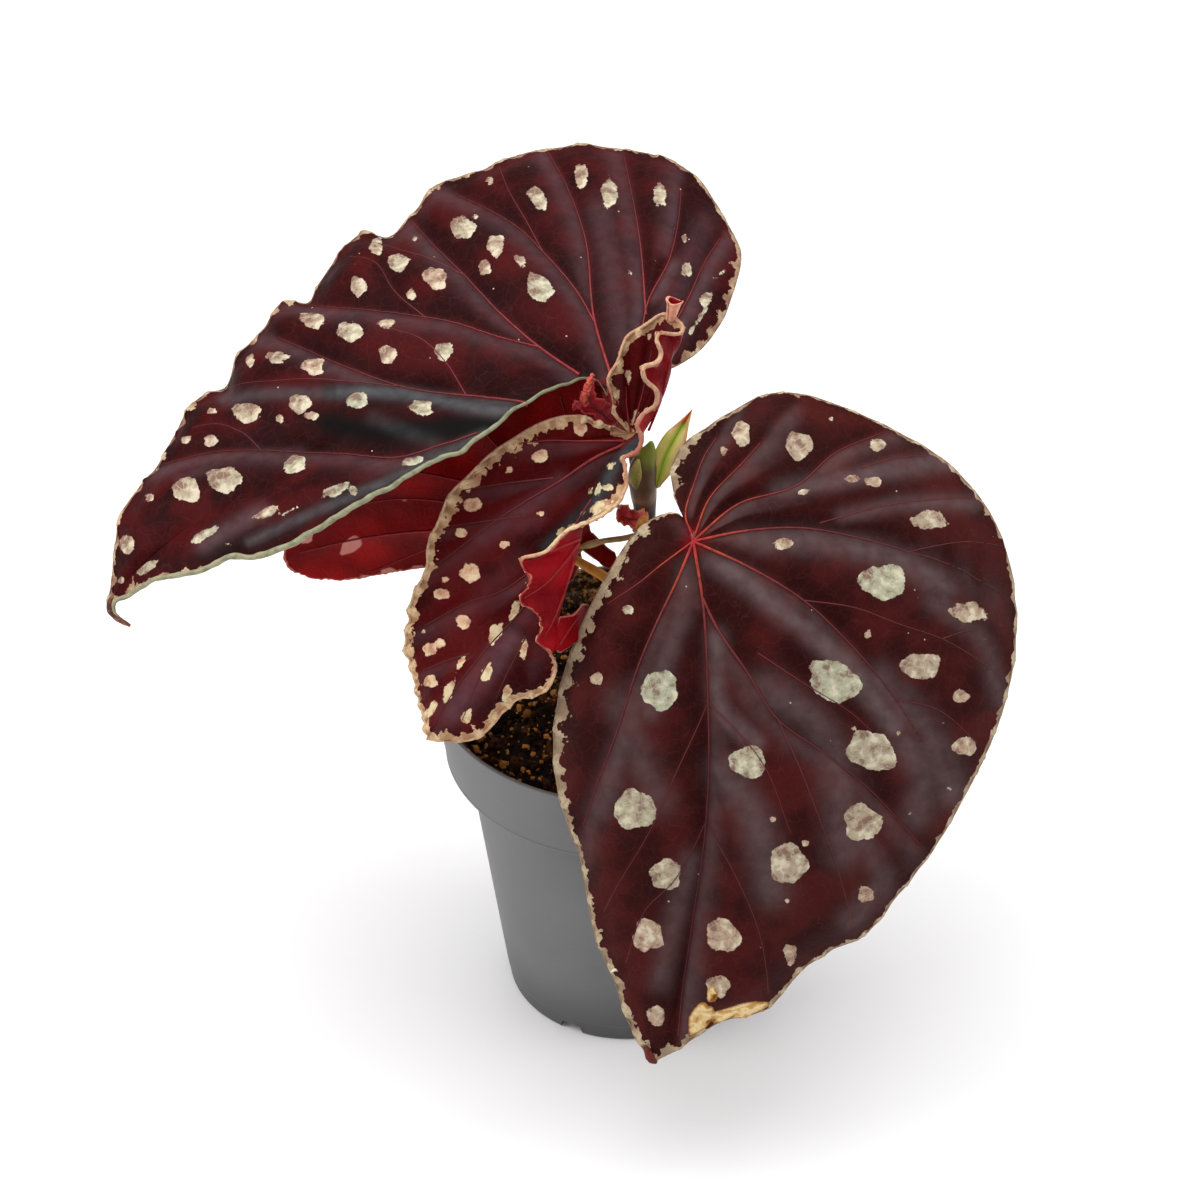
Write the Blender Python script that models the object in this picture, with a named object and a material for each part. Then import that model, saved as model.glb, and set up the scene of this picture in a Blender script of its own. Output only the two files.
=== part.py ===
"""Potted begonia: a plastic nursery pot with peat, a short stem and four spotted leaves.

World frame in metres, +Z up. The pot's axis is the Z axis and its foot stands on Z = 0.
The leaves are drafted on a sheet that leans back like the viewer's line of sight, then every
point is slid along that line by its own distance, so each outline keeps its true shape.
"""

import math

import bmesh
import bpy
import numpy as np

# Start from an empty file
for old in list(bpy.data.objects):
    bpy.data.objects.remove(old, do_unlink=True)

MM = 0.001

# Pot, in mm: a 12 cm nursery pot
LIP_RADIUS = 60.0
POT_HEIGHT = 117.0
BAND_HEIGHT = 25.0
BAND_FOOT_RADIUS = 56.3
BODY_TOP_RADIUS = 50.1
BODY_FOOT_RADIUS = 38.4
FOOT_RADIUS = 37.5
FOOT_HEIGHT = 6.0
WALL = 1.5
FLOOR_UNDERSIDE = 4.0
FOOT_INNER_RADIUS = 34.6
CENTRE_PAD_RADIUS = 9.0
NOTCH_COUNT = 6
NOTCH_WIDTH = 9.0
NOTCH_HEIGHT = 3.4
NOTCH_FIRST_ANGLE = -117.5
DRAIN_RADIUS = 3.0
DRAIN_RING = 24.0

# Soil, in mm
SOIL_LEVEL = 106.0
SOIL_CROWN = 2.0
GAP = 0.3

# Plant, in mm
BLADE_THICKNESS = 0.8
STIPULE_THICKNESS = 0.7

# Drafting sheet: its origin in the world, its lean, its units per mm and the sight distance
SHEET_ORIGIN = np.array([-8.2, 0.0, 148.0])
SHEET_LEAN = math.radians(37.0)
SHEET_UNITS_PER_MM = 3.28
SHEET_MIDDLE = 600.0
SIGHT_DISTANCE = 1200.0

SHEET_RIGHT = np.array([1.0, 0.0, 0.0])
SHEET_UP = np.array([0.0, math.sin(SHEET_LEAN), math.cos(SHEET_LEAN)])
SHEET_TOWARD = np.array([0.0, -math.cos(SHEET_LEAN), math.sin(SHEET_LEAN)])
EYE = SHEET_ORIGIN + SHEET_TOWARD * SIGHT_DISTANCE


def on_sheet(point):
    """World position in metres of a sheet point: units right, units down, mm toward the eye."""
    right, down, near = point[:3]
    flat = SHEET_ORIGIN + SHEET_RIGHT * (right - SHEET_MIDDLE) / SHEET_UNITS_PER_MM
    flat = flat + SHEET_UP * (SHEET_MIDDLE - down) / SHEET_UNITS_PER_MM
    placed = EYE + (flat - EYE) * (1.0 - near / SIGHT_DISTANCE)
    return placed * MM


def srgb(code):
    """Linear colour of a hex code."""
    parts = [int(code[i:i + 2], 16) / 255 for i in (1, 3, 5)]
    linear = [c / 12.92 if c <= 0.04045 else ((c + 0.055) / 1.055) ** 2.4 for c in parts]
    return (*linear, 1.0)


def paint(piece, name, code, roughness):
    """Give a piece its own plain material."""
    material = bpy.data.materials.new(name)
    material.use_nodes = True
    shader = material.node_tree.nodes["Principled BSDF"]
    shader.inputs["Base Color"].default_value = srgb(code)
    shader.inputs["Roughness"].default_value = roughness
    shader.inputs["Metallic"].default_value = 0.0
    material.diffuse_color = srgb(code)
    piece.data.materials.append(material)


def new_piece(name, points, faces, smooth=True):
    """Object from points in metres and faces, welded where points coincide."""
    mesh = bpy.data.meshes.new(name)
    mesh.from_pydata([tuple(p) for p in points], [], faces)
    edit = bmesh.new()
    edit.from_mesh(mesh)
    bmesh.ops.remove_doubles(edit, verts=edit.verts, dist=0.05 * MM)
    bmesh.ops.dissolve_degenerate(edit, edges=edit.edges, dist=0.01 * MM)
    edit.to_mesh(mesh)
    edit.free()
    for face in mesh.polygons:
        face.use_smooth = smooth
    piece = bpy.data.objects.new(name, mesh)
    bpy.context.collection.objects.link(piece)
    return piece


def hide(piece):
    """Mark a piece as a cutter only."""
    piece.hide_render = True
    piece.display_type = "WIRE"


def cut(piece, cutter):
    """Take the cutter's volume away from the piece."""
    step = piece.modifiers.new("cut " + cutter.name, "BOOLEAN")
    step.operation = "DIFFERENCE"
    step.solver = "EXACT"
    step.object = cutter


def smooth_rows(rows, places):
    """Rows of a smooth curve through all given rows, read at places from 0 to 1 of its length."""
    rows = np.array(rows, float)
    steps = np.linalg.norm(np.diff(rows[:, -3:], axis=0), axis=1)
    knots = np.concatenate([[0.0], np.cumsum(np.maximum(steps, 1e-6))])
    slopes = np.gradient(rows, knots, axis=0)
    at = np.asarray(places) * knots[-1]
    low = np.clip(np.searchsorted(knots, at, side="right") - 1, 0, len(knots) - 2)
    span = (knots[low + 1] - knots[low])[:, None]
    t = ((at - knots[low]) / span[:, 0])[:, None]
    start = rows[low] * (1 + 2 * t) * (1 - t) ** 2 + slopes[low] * span * t * (1 - t) ** 2
    end = rows[low + 1] * t * t * (3 - 2 * t) + slopes[low + 1] * span * t * t * (t - 1)
    return start + end, knots / knots[-1]


def spine_at(spine, fractions):
    """Points on the midrib at the given fractions of its length."""
    return smooth_rows(spine, fractions)[0]


def blade(name, spine, right_hand, left_hand, fan, along, across, thickness, underside_shows=False):
    """Leaf blade between a midrib and its two margins.

    The hands are those of someone walking from base to tip, as seen from the eye.
    Each margin row is: how far along the midrib its rib starts, the lift of the rib's middle
    toward the eye, then the margin point, and for a folded rib also the point of the fold.
    """
    points = []
    faces = []
    for hand, rows in enumerate((right_hand, left_hand)):
        full = []
        for row in rows:
            start = spine_at(spine, [row[0]])[0]
            end = np.array(row[2:5], float)
            middle = (start + end) / 2 + np.array([0.0, 0.0, row[1]])
            if len(row) == 8:
                middle = np.array(row[5:8], float)
            full.append([row[0], *middle, *end])
        knots = smooth_rows(full, [0.0])[1]
        fractions = np.array([row[0] for row in full])
        basal_end = knots[np.nonzero(fractions <= 0.0)[0][-1]]
        places = list(np.linspace(0.0, basal_end, fan, endpoint=False))
        climbing = fractions[knots >= basal_end - 1e-9]
        places += list(np.interp(np.linspace(0, 1, along + 1), climbing, knots[knots >= basal_end - 1e-9]))
        ribs = smooth_rows(full, places)[0]
        starts = spine_at(spine, [0.0] * fan + list(np.linspace(0, 1, along + 1)))
        first = len(points)
        turned = (hand == 1) != underside_shows
        for rib, start in zip(ribs, starts):
            middle, end = rib[1:4], rib[4:7]
            bend = 2 * middle - (start + end) / 2
            for j in range(across + 1):
                t = j / across
                points.append(on_sheet((1 - t) ** 2 * start + 2 * t * (1 - t) * bend + t * t * end))
        for i in range(len(ribs) - 1):
            for j in range(across):
                a = first + i * (across + 1) + j
                b = a + across + 1
                loop = (a, a + 1, b + 1, b)
                faces.append(loop[::-1] if turned else loop)
    leaf = new_piece(name, points, faces)
    shell = leaf.modifiers.new("thickness", "SOLIDIFY")
    shell.thickness = thickness * MM
    shell.offset = 0.0
    return leaf


def sheet_path(rows):
    """Stalk rows of radius and sheet point, given as radius and world position in mm."""
    return [(row[0], *(on_sheet(row[1:4]) / MM)) for row in rows]


def tube(name, path, samples, sides=10, extra=0.0):
    """Round stalk along a path of rows: radius and world position in mm."""
    rows = smooth_rows(path, np.linspace(0, 1, samples))[0]
    centres = rows[:, 1:4]
    points = []
    faces = []
    ways = np.gradient(centres, axis=0)
    for centre, way, radius in zip(centres, ways, rows[:, 0]):
        way = way / np.linalg.norm(way)
        first = np.cross(way, (0.6, 0.8, 0.0))
        first = first / np.linalg.norm(first)
        second = np.cross(way, first)
        for k in range(sides):
            turn = 2 * math.pi * k / sides
            spoke = first * math.cos(turn) + second * math.sin(turn)
            points.append((centre + spoke * (radius + extra)) * MM)
    for i in range(samples - 1):
        for k in range(sides):
            a = i * sides + k
            b = i * sides + (k + 1) % sides
            faces.append((a, b, b + sides, a + sides))
    faces.append(tuple(range(sides))[::-1])
    faces.append(tuple((samples - 1) * sides + k for k in range(sides)))
    return new_piece(name, points, faces)


def leaf_seat(leaf, base):
    """Base point of a leaf in mm and the direction in which its underside faces there."""
    point = on_sheet(base)
    normal = np.zeros(3)
    for face in leaf.data.polygons:
        corners = np.array([leaf.data.vertices[i].co for i in face.vertices])
        if np.linalg.norm(corners - point, axis=1).min() < 6 * MM:
            normal += np.array(face.normal) * face.area
    return point / MM, -normal / np.linalg.norm(normal)


def lathe(name, outline, steps):
    """Solid turned about the Z axis from an outline of radius and height in mm."""
    mesh = bpy.data.meshes.new(name)
    mesh.from_pydata([(r * MM, 0.0, z * MM) for r, z in outline], [(i, i + 1) for i in range(len(outline) - 1)], [])
    piece = bpy.data.objects.new(name, mesh)
    bpy.context.collection.objects.link(piece)
    turn = piece.modifiers.new("turn", "SCREW")
    turn.steps = steps
    turn.render_steps = steps
    turn.use_merge_vertices = True
    turn.merge_threshold = 0.00005
    turn.use_smooth_shade = True
    return piece


# Pot: inner floor, inner wall with its step, lip, outer band, body, foot and centre pad
band_bottom = POT_HEIGHT - BAND_HEIGHT
floor_top = FLOOR_UNDERSIDE + WALL
pot_outline = [
    (0.0, floor_top),
    (BODY_FOOT_RADIUS - WALL - 1.0, floor_top),
    (BODY_FOOT_RADIUS - WALL, floor_top + 1.0),
    (BODY_TOP_RADIUS - WALL, band_bottom + WALL - 0.4),
    (BODY_TOP_RADIUS - WALL + 0.6, band_bottom + WALL),
    (BAND_FOOT_RADIUS - WALL - 0.6, band_bottom + WALL),
    (BAND_FOOT_RADIUS - WALL, band_bottom + WALL + 0.8),
    (LIP_RADIUS - WALL - 0.6, POT_HEIGHT - 1.2),
    (LIP_RADIUS - WALL - 0.3, POT_HEIGHT - 0.3),
    (LIP_RADIUS - 0.8, POT_HEIGHT),
    (LIP_RADIUS, POT_HEIGHT - 0.7),
    (LIP_RADIUS - 0.1, POT_HEIGHT - 2.0),
    (BAND_FOOT_RADIUS + 0.1, band_bottom + 0.8),
    (BAND_FOOT_RADIUS - 0.5, band_bottom),
    (BODY_TOP_RADIUS + 0.3, band_bottom),
    (BODY_TOP_RADIUS, band_bottom - 0.4),
    (BODY_FOOT_RADIUS, FOOT_HEIGHT + 0.6),
    (BODY_FOOT_RADIUS - 0.5, FOOT_HEIGHT),
    (FOOT_RADIUS, 0.6),
    (FOOT_RADIUS - 0.6, 0.0),
    (FOOT_INNER_RADIUS, 0.0),
    (FOOT_INNER_RADIUS, FLOOR_UNDERSIDE),
    (CENTRE_PAD_RADIUS + 2.0, FLOOR_UNDERSIDE),
    (CENTRE_PAD_RADIUS, 0.0),
    (0.0, 0.0),
]
pot = lathe("pot", pot_outline, 48)

for k in range(NOTCH_COUNT):
    angle = math.radians(NOTCH_FIRST_ANGLE + 360.0 * k / NOTCH_COUNT)
    out = np.array([math.cos(angle), math.sin(angle), 0.0])
    side = np.array([-math.sin(angle), math.cos(angle), 0.0])
    corners = []
    for reach in (FOOT_INNER_RADIUS - 2.0, FOOT_RADIUS + 3.0):
        for half, height in ((-0.5, -1.0), (0.5, -1.0), (0.34, NOTCH_HEIGHT), (-0.34, NOTCH_HEIGHT)):
            corners.append((out * reach + side * half * NOTCH_WIDTH + np.array([0, 0, height])) * MM)
    walls = [(3, 2, 1, 0), (4, 5, 6, 7), (5, 4, 0, 1), (6, 5, 1, 2), (7, 6, 2, 3), (4, 7, 3, 0)]
    notch = new_piece("notch_cutter_%d" % (k + 1), corners, walls, smooth=False)
    hide(notch)
    cut(pot, notch)

    hole_angle = angle + math.radians(30)
    bpy.ops.mesh.primitive_cylinder_add(
        vertices=12, radius=DRAIN_RADIUS * MM, depth=8 * MM,
        location=(DRAIN_RING * MM * math.cos(hole_angle), DRAIN_RING * MM * math.sin(hole_angle), 5 * MM))
    hole = bpy.context.object
    hole.name = "drain_cutter_%d" % (k + 1)
    hide(hole)
    cut(pot, hole)
paint(pot, "grey nursery plastic", "#77797a", 0.55)

# Peat filling the pot to just under the lip
soil_rim = LIP_RADIUS - WALL - 0.6 - (POT_HEIGHT - SOIL_LEVEL) * 0.14 - GAP
soil_outline = [
    (0.0, SOIL_LEVEL + SOIL_CROWN),
    (20.0, SOIL_LEVEL + SOIL_CROWN * 0.8),
    (42.0, SOIL_LEVEL + 0.4),
    (soil_rim - 2.5, SOIL_LEVEL - 0.6),
    (soil_rim - 0.5, SOIL_LEVEL - 2.0),
    (BAND_FOOT_RADIUS - WALL - GAP - 0.2, band_bottom + WALL + 1.6),
    (BODY_TOP_RADIUS - WALL - GAP, band_bottom + WALL + GAP + 0.3),
    (BODY_FOOT_RADIUS - WALL - GAP, floor_top + GAP + 1.0),
    (BODY_FOOT_RADIUS - WALL - GAP - 1.0, floor_top + GAP),
    (0.0, floor_top + GAP),
]
soil = lathe("soil", soil_outline, 40)
paint(soil, "brown peat", "#2a1d14", 0.95)

# Stem with its swollen node, rising from a socket in the peat
stem_path = [
    (4.6, 643, 766, -34.0),
    (4.6, 643, 732, -26.5),
    (4.0, 643, 672, -12.5),
    (3.6, 643, 614, 0.6),
    (3.4, 643, 560, 13.0),
    (3.5, 643, 520, 22.0),
    (4.0, 642, 484, 30.4),
    (3.8, 643, 470, 33.6),
    (3.0, 647, 456, 37.0),
    (2.3, 650, 444, 39.5),
    (1.2, 651, 438, 41.0),
]
stem = tube("main_stem", sheet_path(stem_path), 20, sides=14)
paint(stem, "olive stem", "#4d4426", 0.6)
socket_path = [(4.6, 643, 767.2, -34.3)] + stem_path[1:]
stem_room = tube("stem_clearance_cutter", sheet_path(socket_path), 20, sides=14, extra=GAP)
hide(stem_room)
cut(soil, stem_room)

# Upper left leaf: far half above the midrib, near half below it, curled tail at the tip
upper_left_spine = [
    (607, 388, 42), (545, 378, 42), (470, 395, 44), (395, 424, 46), (310, 465, 46),
    (215, 520, 42), (150, 566, 37), (120, 590, 33), (109, 606, 31), (117, 618, 31), (129, 625, 32),
]
upper_left_far = [
    (0.00, 0, 634, 384, 44), (0.00, 1, 670, 369, 40), (0.00, 3, 700, 350, 34), (0.00, 5, 722, 320, 26),
    (0.00, 6, 735, 285, 18), (0.00, 7, 741, 258, 10), (0.00, 8, 722, 215, 0), (0.00, 8, 703, 185, -6),
    (0.00, 8, 680, 165, -11), (0.01, 8, 655, 155, -15), (0.03, 8, 620, 150, -18), (0.07, 8, 585, 145, -20),
    (0.11, 8, 545, 150, -20), (0.15, 8, 510, 158, -19), (0.20, 8, 480, 171, -17), (0.27, 8, 432, 189, -14),
    (0.31, 8, 413, 214, -10), (0.36, 8, 384, 239, -6), (0.40, 8, 347, 246, -4), (0.45, 7, 324, 276, 0),
    (0.50, 7, 310, 303, 4), (0.55, 6, 282, 303, 4), (0.59, 6, 264, 332, 8), (0.63, 5, 239, 352, 11),
    (0.67, 5, 224, 391, 16), (0.72, 4, 190, 412, 18), (0.77, 4, 161, 462, 23), (0.81, 3, 140, 488, 26),
    (0.85, 2, 124, 508, 28), (0.88, 1, 116, 538, 30), (0.92, 0, 113, 572, 31), (0.95, 0, 110, 596, 31),
    (0.98, 0, 112, 614, 30), (1.00, 0, 129, 625, 32),
]
upper_left_near = [
    (0.00, 0, 606, 396, 46), (0.00, 1, 598, 380, 48), (0.03, 2, 583, 378, 51), (0.09, 2, 556, 388, 55),
    (0.16, 2, 530, 401, 58), (0.25, 2, 480, 438, 63), (0.30, 2, 461, 452, 64), (0.36, 2, 428, 465, 66),
    (0.42, 2, 395, 486, 67), (0.48, 2, 362, 503, 67), (0.54, 2, 335, 520, 66), (0.60, 2, 286, 548, 63),
    (0.66, 2, 259, 558, 60), (0.71, 2, 233, 558, 56), (0.76, 2, 196, 574, 51), (0.81, 1, 161, 579, 46),
    (0.85, 1, 143, 587, 41), (0.89, 0, 130, 596, 37), (0.93, 0, 117, 602, 33), (0.96, 0, 115, 610, 32),
    (1.00, 0, 129, 625, 32),
]
upper_left_leaf = blade("upper_left_leaf", upper_left_spine, upper_left_far, upper_left_near, 9, 22, 6, BLADE_THICKNESS)
paint(upper_left_leaf, "maroon leaf far", "#431a1e", 0.45)

# Front right leaf: the largest, hanging in front of the pot
front_spine = [
    (693, 541, 62), (702, 597, 61), (708, 702, 55), (707, 821, 45), (693, 924, 34), (676, 1000, 26), (654, 1062, 20),
]
front_outer = [
    (0.00, 1, 690, 524, 61), (0.00, 1, 678, 514, 60), (0.00, 2, 658, 516, 60), (0.00, 2, 633, 536, 58),
    (0.00, 3, 610, 571, 56), (0.04, 4, 592, 604, 53), (0.12, 5, 576, 640, 50), (0.20, 6, 562, 682, 46),
    (0.29, 6, 555, 722, 43), (0.39, 6, 556, 780, 38), (0.49, 5, 567, 821, 35), (0.58, 5, 579, 852, 32),
    (0.67, 4, 588, 898, 29), (0.76, 3, 598, 944, 26), (0.84, 2, 613, 976, 24), (0.91, 1, 628, 1021, 21),
    (0.97, 0, 645, 1052, 20), (1.00, 0, 654, 1062, 20),
]
front_inner = [
    (0.00, 1, 696, 522, 61), (0.00, 1, 676, 498, 58), (0.00, 1, 672, 468, 56), (0.00, 2, 682, 446, 54),
    (0.00, 3, 704, 430, 52), (0.00, 4, 734, 411, 50), (0.00, 5, 765, 395, 48), (0.00, 6, 798, 394, 47),
    (0.00, 7, 844, 408, 45), (0.00, 8, 895, 431, 43), (0.00, 9, 954, 469, 40), (0.00, 9, 995, 523, 38),
    (0.01, 9, 1015, 592, 38), (0.05, 9, 1012, 671, 37), (0.12, 9, 995, 732, 36), (0.19, 9, 968, 789, 35),
    (0.28, 8, 930, 854, 33), (0.37, 8, 895, 898, 31), (0.45, 7, 863, 936, 29), (0.53, 6, 833, 949, 28),
    (0.63, 5, 804, 968, 26), (0.75, 4, 766, 1009, 23), (0.85, 3, 719, 1022, 22), (0.94, 1, 681, 1047, 21),
    (1.00, 0, 654, 1062, 20),
]
front_leaf = blade("front_right_leaf", front_spine, front_outer, front_inner, 10, 20, 6, BLADE_THICKNESS)
paint(front_leaf, "maroon leaf front", "#47201f", 0.45)

# Centre leaf: ruffled, with an upright upper lobe and a lower flap folded over its face
centre_spine = [
    (630, 434, 43), (592, 496, 46), (548, 572, 49), (505, 628, 51), (470, 660, 52), (446, 704, 50), (426, 740, 48),
]
centre_outer = [
    (0.00, 0, 616, 428, 45), (0.00, 0, 599, 423, 46), (0.00, 1, 579, 416, 47), (0.00, 1, 543, 422, 47),
    (0.00, 2, 513, 439, 46), (0.00, 2, 490, 454, 45), (0.03, 3, 467, 477, 44), (0.09, 3, 449, 495, 42),
    (0.16, 3, 439, 520, 41), (0.24, 4, 428, 543, 40), (0.32, 4, 426, 569, 39), (0.40, 4, 411, 599, 38),
    (0.48, 4, 408, 620, 38), (0.57, 3, 405, 650, 38), (0.66, 3, 412, 672, 39), (0.77, 2, 418, 699, 41),
    (0.89, 1, 424, 722, 45), (1.00, 0, 426, 740, 48),
]
centre_inner = [
    (0.00, 0, 615, 418, 46), (0.00, 0, 612, 396, 49), (0.00, 0, 606, 378, 51), (0.00, 0, 620, 352, 52),
    (0.00, 0, 630, 332, 52), (0.00, 0, 645, 322, 53), (0.00, 0, 664, 309, 54),
    (0.00, 0, 676, 297, 56, 652, 362, 50), (0.00, 0, 683, 312, 60, 660, 366, 51),
    (0.00, 0, 680, 332, 63, 666, 370, 52), (0.00, 0, 660, 336, 64, 664, 376, 52),
    (0.00, 0, 662, 356, 64, 661, 384, 52), (0.00, 0, 642, 368, 62, 657, 398, 51),
    (0.00, 0, 656, 388, 60, 655, 410, 50), (0.00, 0, 640, 414, 56, 646, 424, 48),
    (0.00, 0, 646, 440, 54, 642, 434, 48), (0.02, 1, 634, 458, 54), (0.07, 1, 627, 480, 55),
    (0.14, 1, 616, 508, 56), (0.20, 1, 592, 524, 59, 592, 512, 50),
    (0.26, 0, 556, 536, 66, 582, 532, 53), (0.33, 0, 522, 560, 68, 576, 560, 54),
    (0.41, 0, 527, 584, 67, 572, 582, 54), (0.49, 0, 524, 602, 66, 566, 606, 54),
    (0.56, 0, 542, 628, 64, 561, 630, 54), (0.62, 0, 550, 650, 60, 556, 648, 55),
    (0.68, 1, 556, 663, 55), (0.75, 2, 545, 692, 52), (0.83, 2, 518, 699, 50), (0.90, 1, 500, 716, 48),
    (0.95, 1, 480, 737, 47), (0.98, 0, 446, 742, 47), (1.00, 0, 426, 740, 48),
]
centre_leaf = blade("centre_leaf", centre_spine, centre_outer, centre_inner, 15, 20, 8, BLADE_THICKNESS)
paint(centre_leaf, "maroon leaf centre", "#4a1a1c", 0.45)

# Back left leaf: hangs below the upper left leaf and shows its crimson underside
back_spine = [(580, 548, 12), (520, 536, 8), (440, 530, 4), (360, 538, -1), (283, 558, -7)]
back_upper = [
    (0.00, 0, 594, 558, 11), (0.00, 0, 610, 568, 9), (0.00, 0, 617, 557, 11), (0.00, 0, 604, 544, 14),
    (0.00, 0, 591, 531, 17), (0.00, 0, 588, 505, 21), (0.00, -1, 598, 468, 25), (0.00, -2, 605, 428, 29),
    (0.00, -3, 596, 394, 32), (0.02, -4, 560, 374, 33), (0.10, -4, 510, 380, 32), (0.24, -4, 455, 405, 29),
    (0.40, -3, 400, 436, 25), (0.57, -2, 348, 472, 17), (0.75, -1, 308, 508, 8), (0.90, 0, 286, 540, -3),
    (1.00, 0, 283, 558, -7),
]
back_lower = [
    (0.00, 0, 582, 558, 11), (0.00, 0, 574, 578, 7), (0.00, 0, 556, 592, 2), (0.00, -1, 530, 594, -2),
    (0.12, -2, 490, 584, -6), (0.32, -2, 430, 568, -9), (0.50, -2, 390, 573, -12),
    (0.68, -1, 345, 580, -13), (0.84, 0, 308, 577, -12), (0.94, 0, 288, 568, -9), (1.00, 0, 283, 558, -7),
]
back_leaf = blade("back_left_leaf", back_spine, back_upper, back_lower, 7, 14, 5, BLADE_THICKNESS, underside_shows=True)
paint(back_leaf, "crimson leaf underside", "#8f1a1e", 0.5)

# Petioles, each run from the stem to the underside of its leaf
petioles = {
    "upper_left_petiole": ("#7a2a22", upper_left_leaf, upper_left_spine[0], 1.6, [
        (2.3, 640, 480, 27.0), (2.1, 634, 452, 26.0), (2.0, 622, 424, 28.0)]),
    "front_petiole": ("#7f3a26", front_leaf, front_spine[0], 1.7, [
        (2.4, 643, 540, 16.0), (2.2, 655, 552, 28.0), (2.1, 673, 556, 44.0)]),
    "centre_petiole": ("#6b4a28", centre_leaf, centre_spine[0], 1.4, [
        (1.9, 646, 474, 33.0), (1.8, 640, 458, 35.0)]),
    "back_left_petiole": ("#a8752c", back_leaf, back_spine[0], 1.2, [
        (2.0, 645, 616, 0.0), (1.8, 624, 598, 8.0), (1.6, 606, 578, 16.0)]),
}
for name, (colour, leaf, base, end_radius, path) in petioles.items():
    seat, under = leaf_seat(leaf, base)
    rows = sheet_path(path)
    rows.append((end_radius * 1.1, *(seat + under * 6.0)))
    rows.append((end_radius, *(seat + under * (BLADE_THICKNESS / 2 + GAP + 0.1))))
    stalk = tube(name, rows, 13, sides=10)
    paint(stalk, name.replace("_", " "), colour, 0.5)
    cut(stalk, stem_room)

# Thin pale stalk of a side shoot, running left from the stem
shoot_path = [(1.0, 642, 534, 22.0), (0.9, 625, 538, 22.5), (0.9, 604, 541, 22.0), (1.1, 588, 545, 20.0), (0.5, 580, 547, 19.0)]
shoot = tube("side_shoot", sheet_path(shoot_path), 9, sides=8)
paint(shoot, "pale green stalk", "#a9a06a", 0.5)
cut(shoot, stem_room)

# Green stipule with a red spike, to the right of the node
stipule_spine = [(655, 490, 30), (664, 462, 33), (677, 434, 36), (686, 419, 38), (693, 409, 39)]
stipule_right = [
    (0.00, 0, 659, 489, 31), (0.25, 1, 678, 466, 31), (0.50, 1, 687, 440, 33), (0.74, 0, 689, 420, 37), (1.00, 0, 693, 409, 39),
]
stipule_left = [
    (0.00, 0, 652, 487, 31), (0.25, 1, 655, 456, 34), (0.50, 1, 668, 432, 38), (0.74, 0, 683, 419, 38), (1.00, 0, 693, 409, 39),
]
stipule = blade("green_stipule", stipule_spine, stipule_right, stipule_left, 2, 9, 3, STIPULE_THICKNESS)
paint(stipule, "green stipule", "#a8ad6c", 0.5)
cut(stipule, stem_room)

# Coral unfolding leaf bud in the hollow below the upper left leaf
coral_spine = [(613, 424, 38), (603, 404, 43), (592, 388, 49), (586, 373, 54)]
coral_right = [
    (0.00, 0, 617, 422, 39), (0.25, 0, 612, 404, 41), (0.42, 0, 600, 396, 47), (0.60, 0, 599, 384, 47),
    (0.80, 0, 593, 378, 54), (1.00, 0, 586, 373, 54),
]
coral_left = [
    (0.00, 0, 607, 424, 39), (0.25, 0, 589, 408, 46), (0.42, 0, 572, 404, 44), (0.60, 0, 583, 392, 51),
    (0.80, 0, 578, 382, 53), (1.00, 0, 586, 373, 54),
]
coral = blade("coral_bud", coral_spine, coral_right, coral_left, 2, 9, 3, STIPULE_THICKNESS)
paint(coral, "coral bud", "#c8483c", 0.5)

# Small ruffled red bract at the foot of the node
bract_spine = [(644, 518, 30), (632, 520, 32), (622, 516, 33), (617, 509, 33)]
bract_lower = [(0.00, 0, 645, 525, 29), (0.30, 0, 638, 529, 33), (0.60, 0, 627, 526, 31), (0.85, 0, 617, 521, 34), (1.00, 0, 617, 509, 33)]
bract_upper = [(0.00, 0, 645, 508, 30), (0.30, 0, 636, 510, 33), (0.60, 0, 628, 506, 31), (0.85, 0, 621, 505, 34), (1.00, 0, 617, 509, 33)]
bract = blade("red_bract", bract_spine, bract_upper, bract_lower, 2, 8, 3, STIPULE_THICKNESS)
paint(bract, "red bract", "#8e1c22", 0.5)
cut(bract, stem_room)
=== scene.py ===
# %% [markdown]
# # A potted begonia
# A begonia with maroon, pale-spotted leaves grows from peat in a grey plastic nursery pot. The packed
# CAD part gives every place and size. Each of its nodes is replaced here by a finer piece that
# keeps the same outline and adds what the eye looks for: veins, pleats, spots, crumbs.

import math

import bpy
import numpy as np
from mathutils import Matrix, Vector, kdtree


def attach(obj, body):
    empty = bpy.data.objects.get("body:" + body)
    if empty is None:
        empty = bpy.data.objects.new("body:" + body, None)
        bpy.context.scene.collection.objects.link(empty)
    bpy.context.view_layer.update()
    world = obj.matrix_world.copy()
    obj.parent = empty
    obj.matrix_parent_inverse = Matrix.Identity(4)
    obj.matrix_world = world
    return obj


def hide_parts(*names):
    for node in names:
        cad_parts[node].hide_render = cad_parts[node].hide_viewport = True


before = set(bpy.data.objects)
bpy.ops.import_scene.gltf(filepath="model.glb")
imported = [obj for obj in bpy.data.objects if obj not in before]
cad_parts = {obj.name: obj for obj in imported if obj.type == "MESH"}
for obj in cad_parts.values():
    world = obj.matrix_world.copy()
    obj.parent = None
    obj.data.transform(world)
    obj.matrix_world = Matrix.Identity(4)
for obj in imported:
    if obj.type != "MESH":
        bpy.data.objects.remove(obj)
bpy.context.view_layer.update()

# %% [markdown]
# ## The drafting sheet
# The leaves are drawn on a sheet that is square to the line of sight, 3.28 sheet units to the
# millimetre. A third number slides each point toward the eye. The outline then stays as
# drawn, and only the depth is a judgement. The CAD part places its leaves in the same way.

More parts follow.
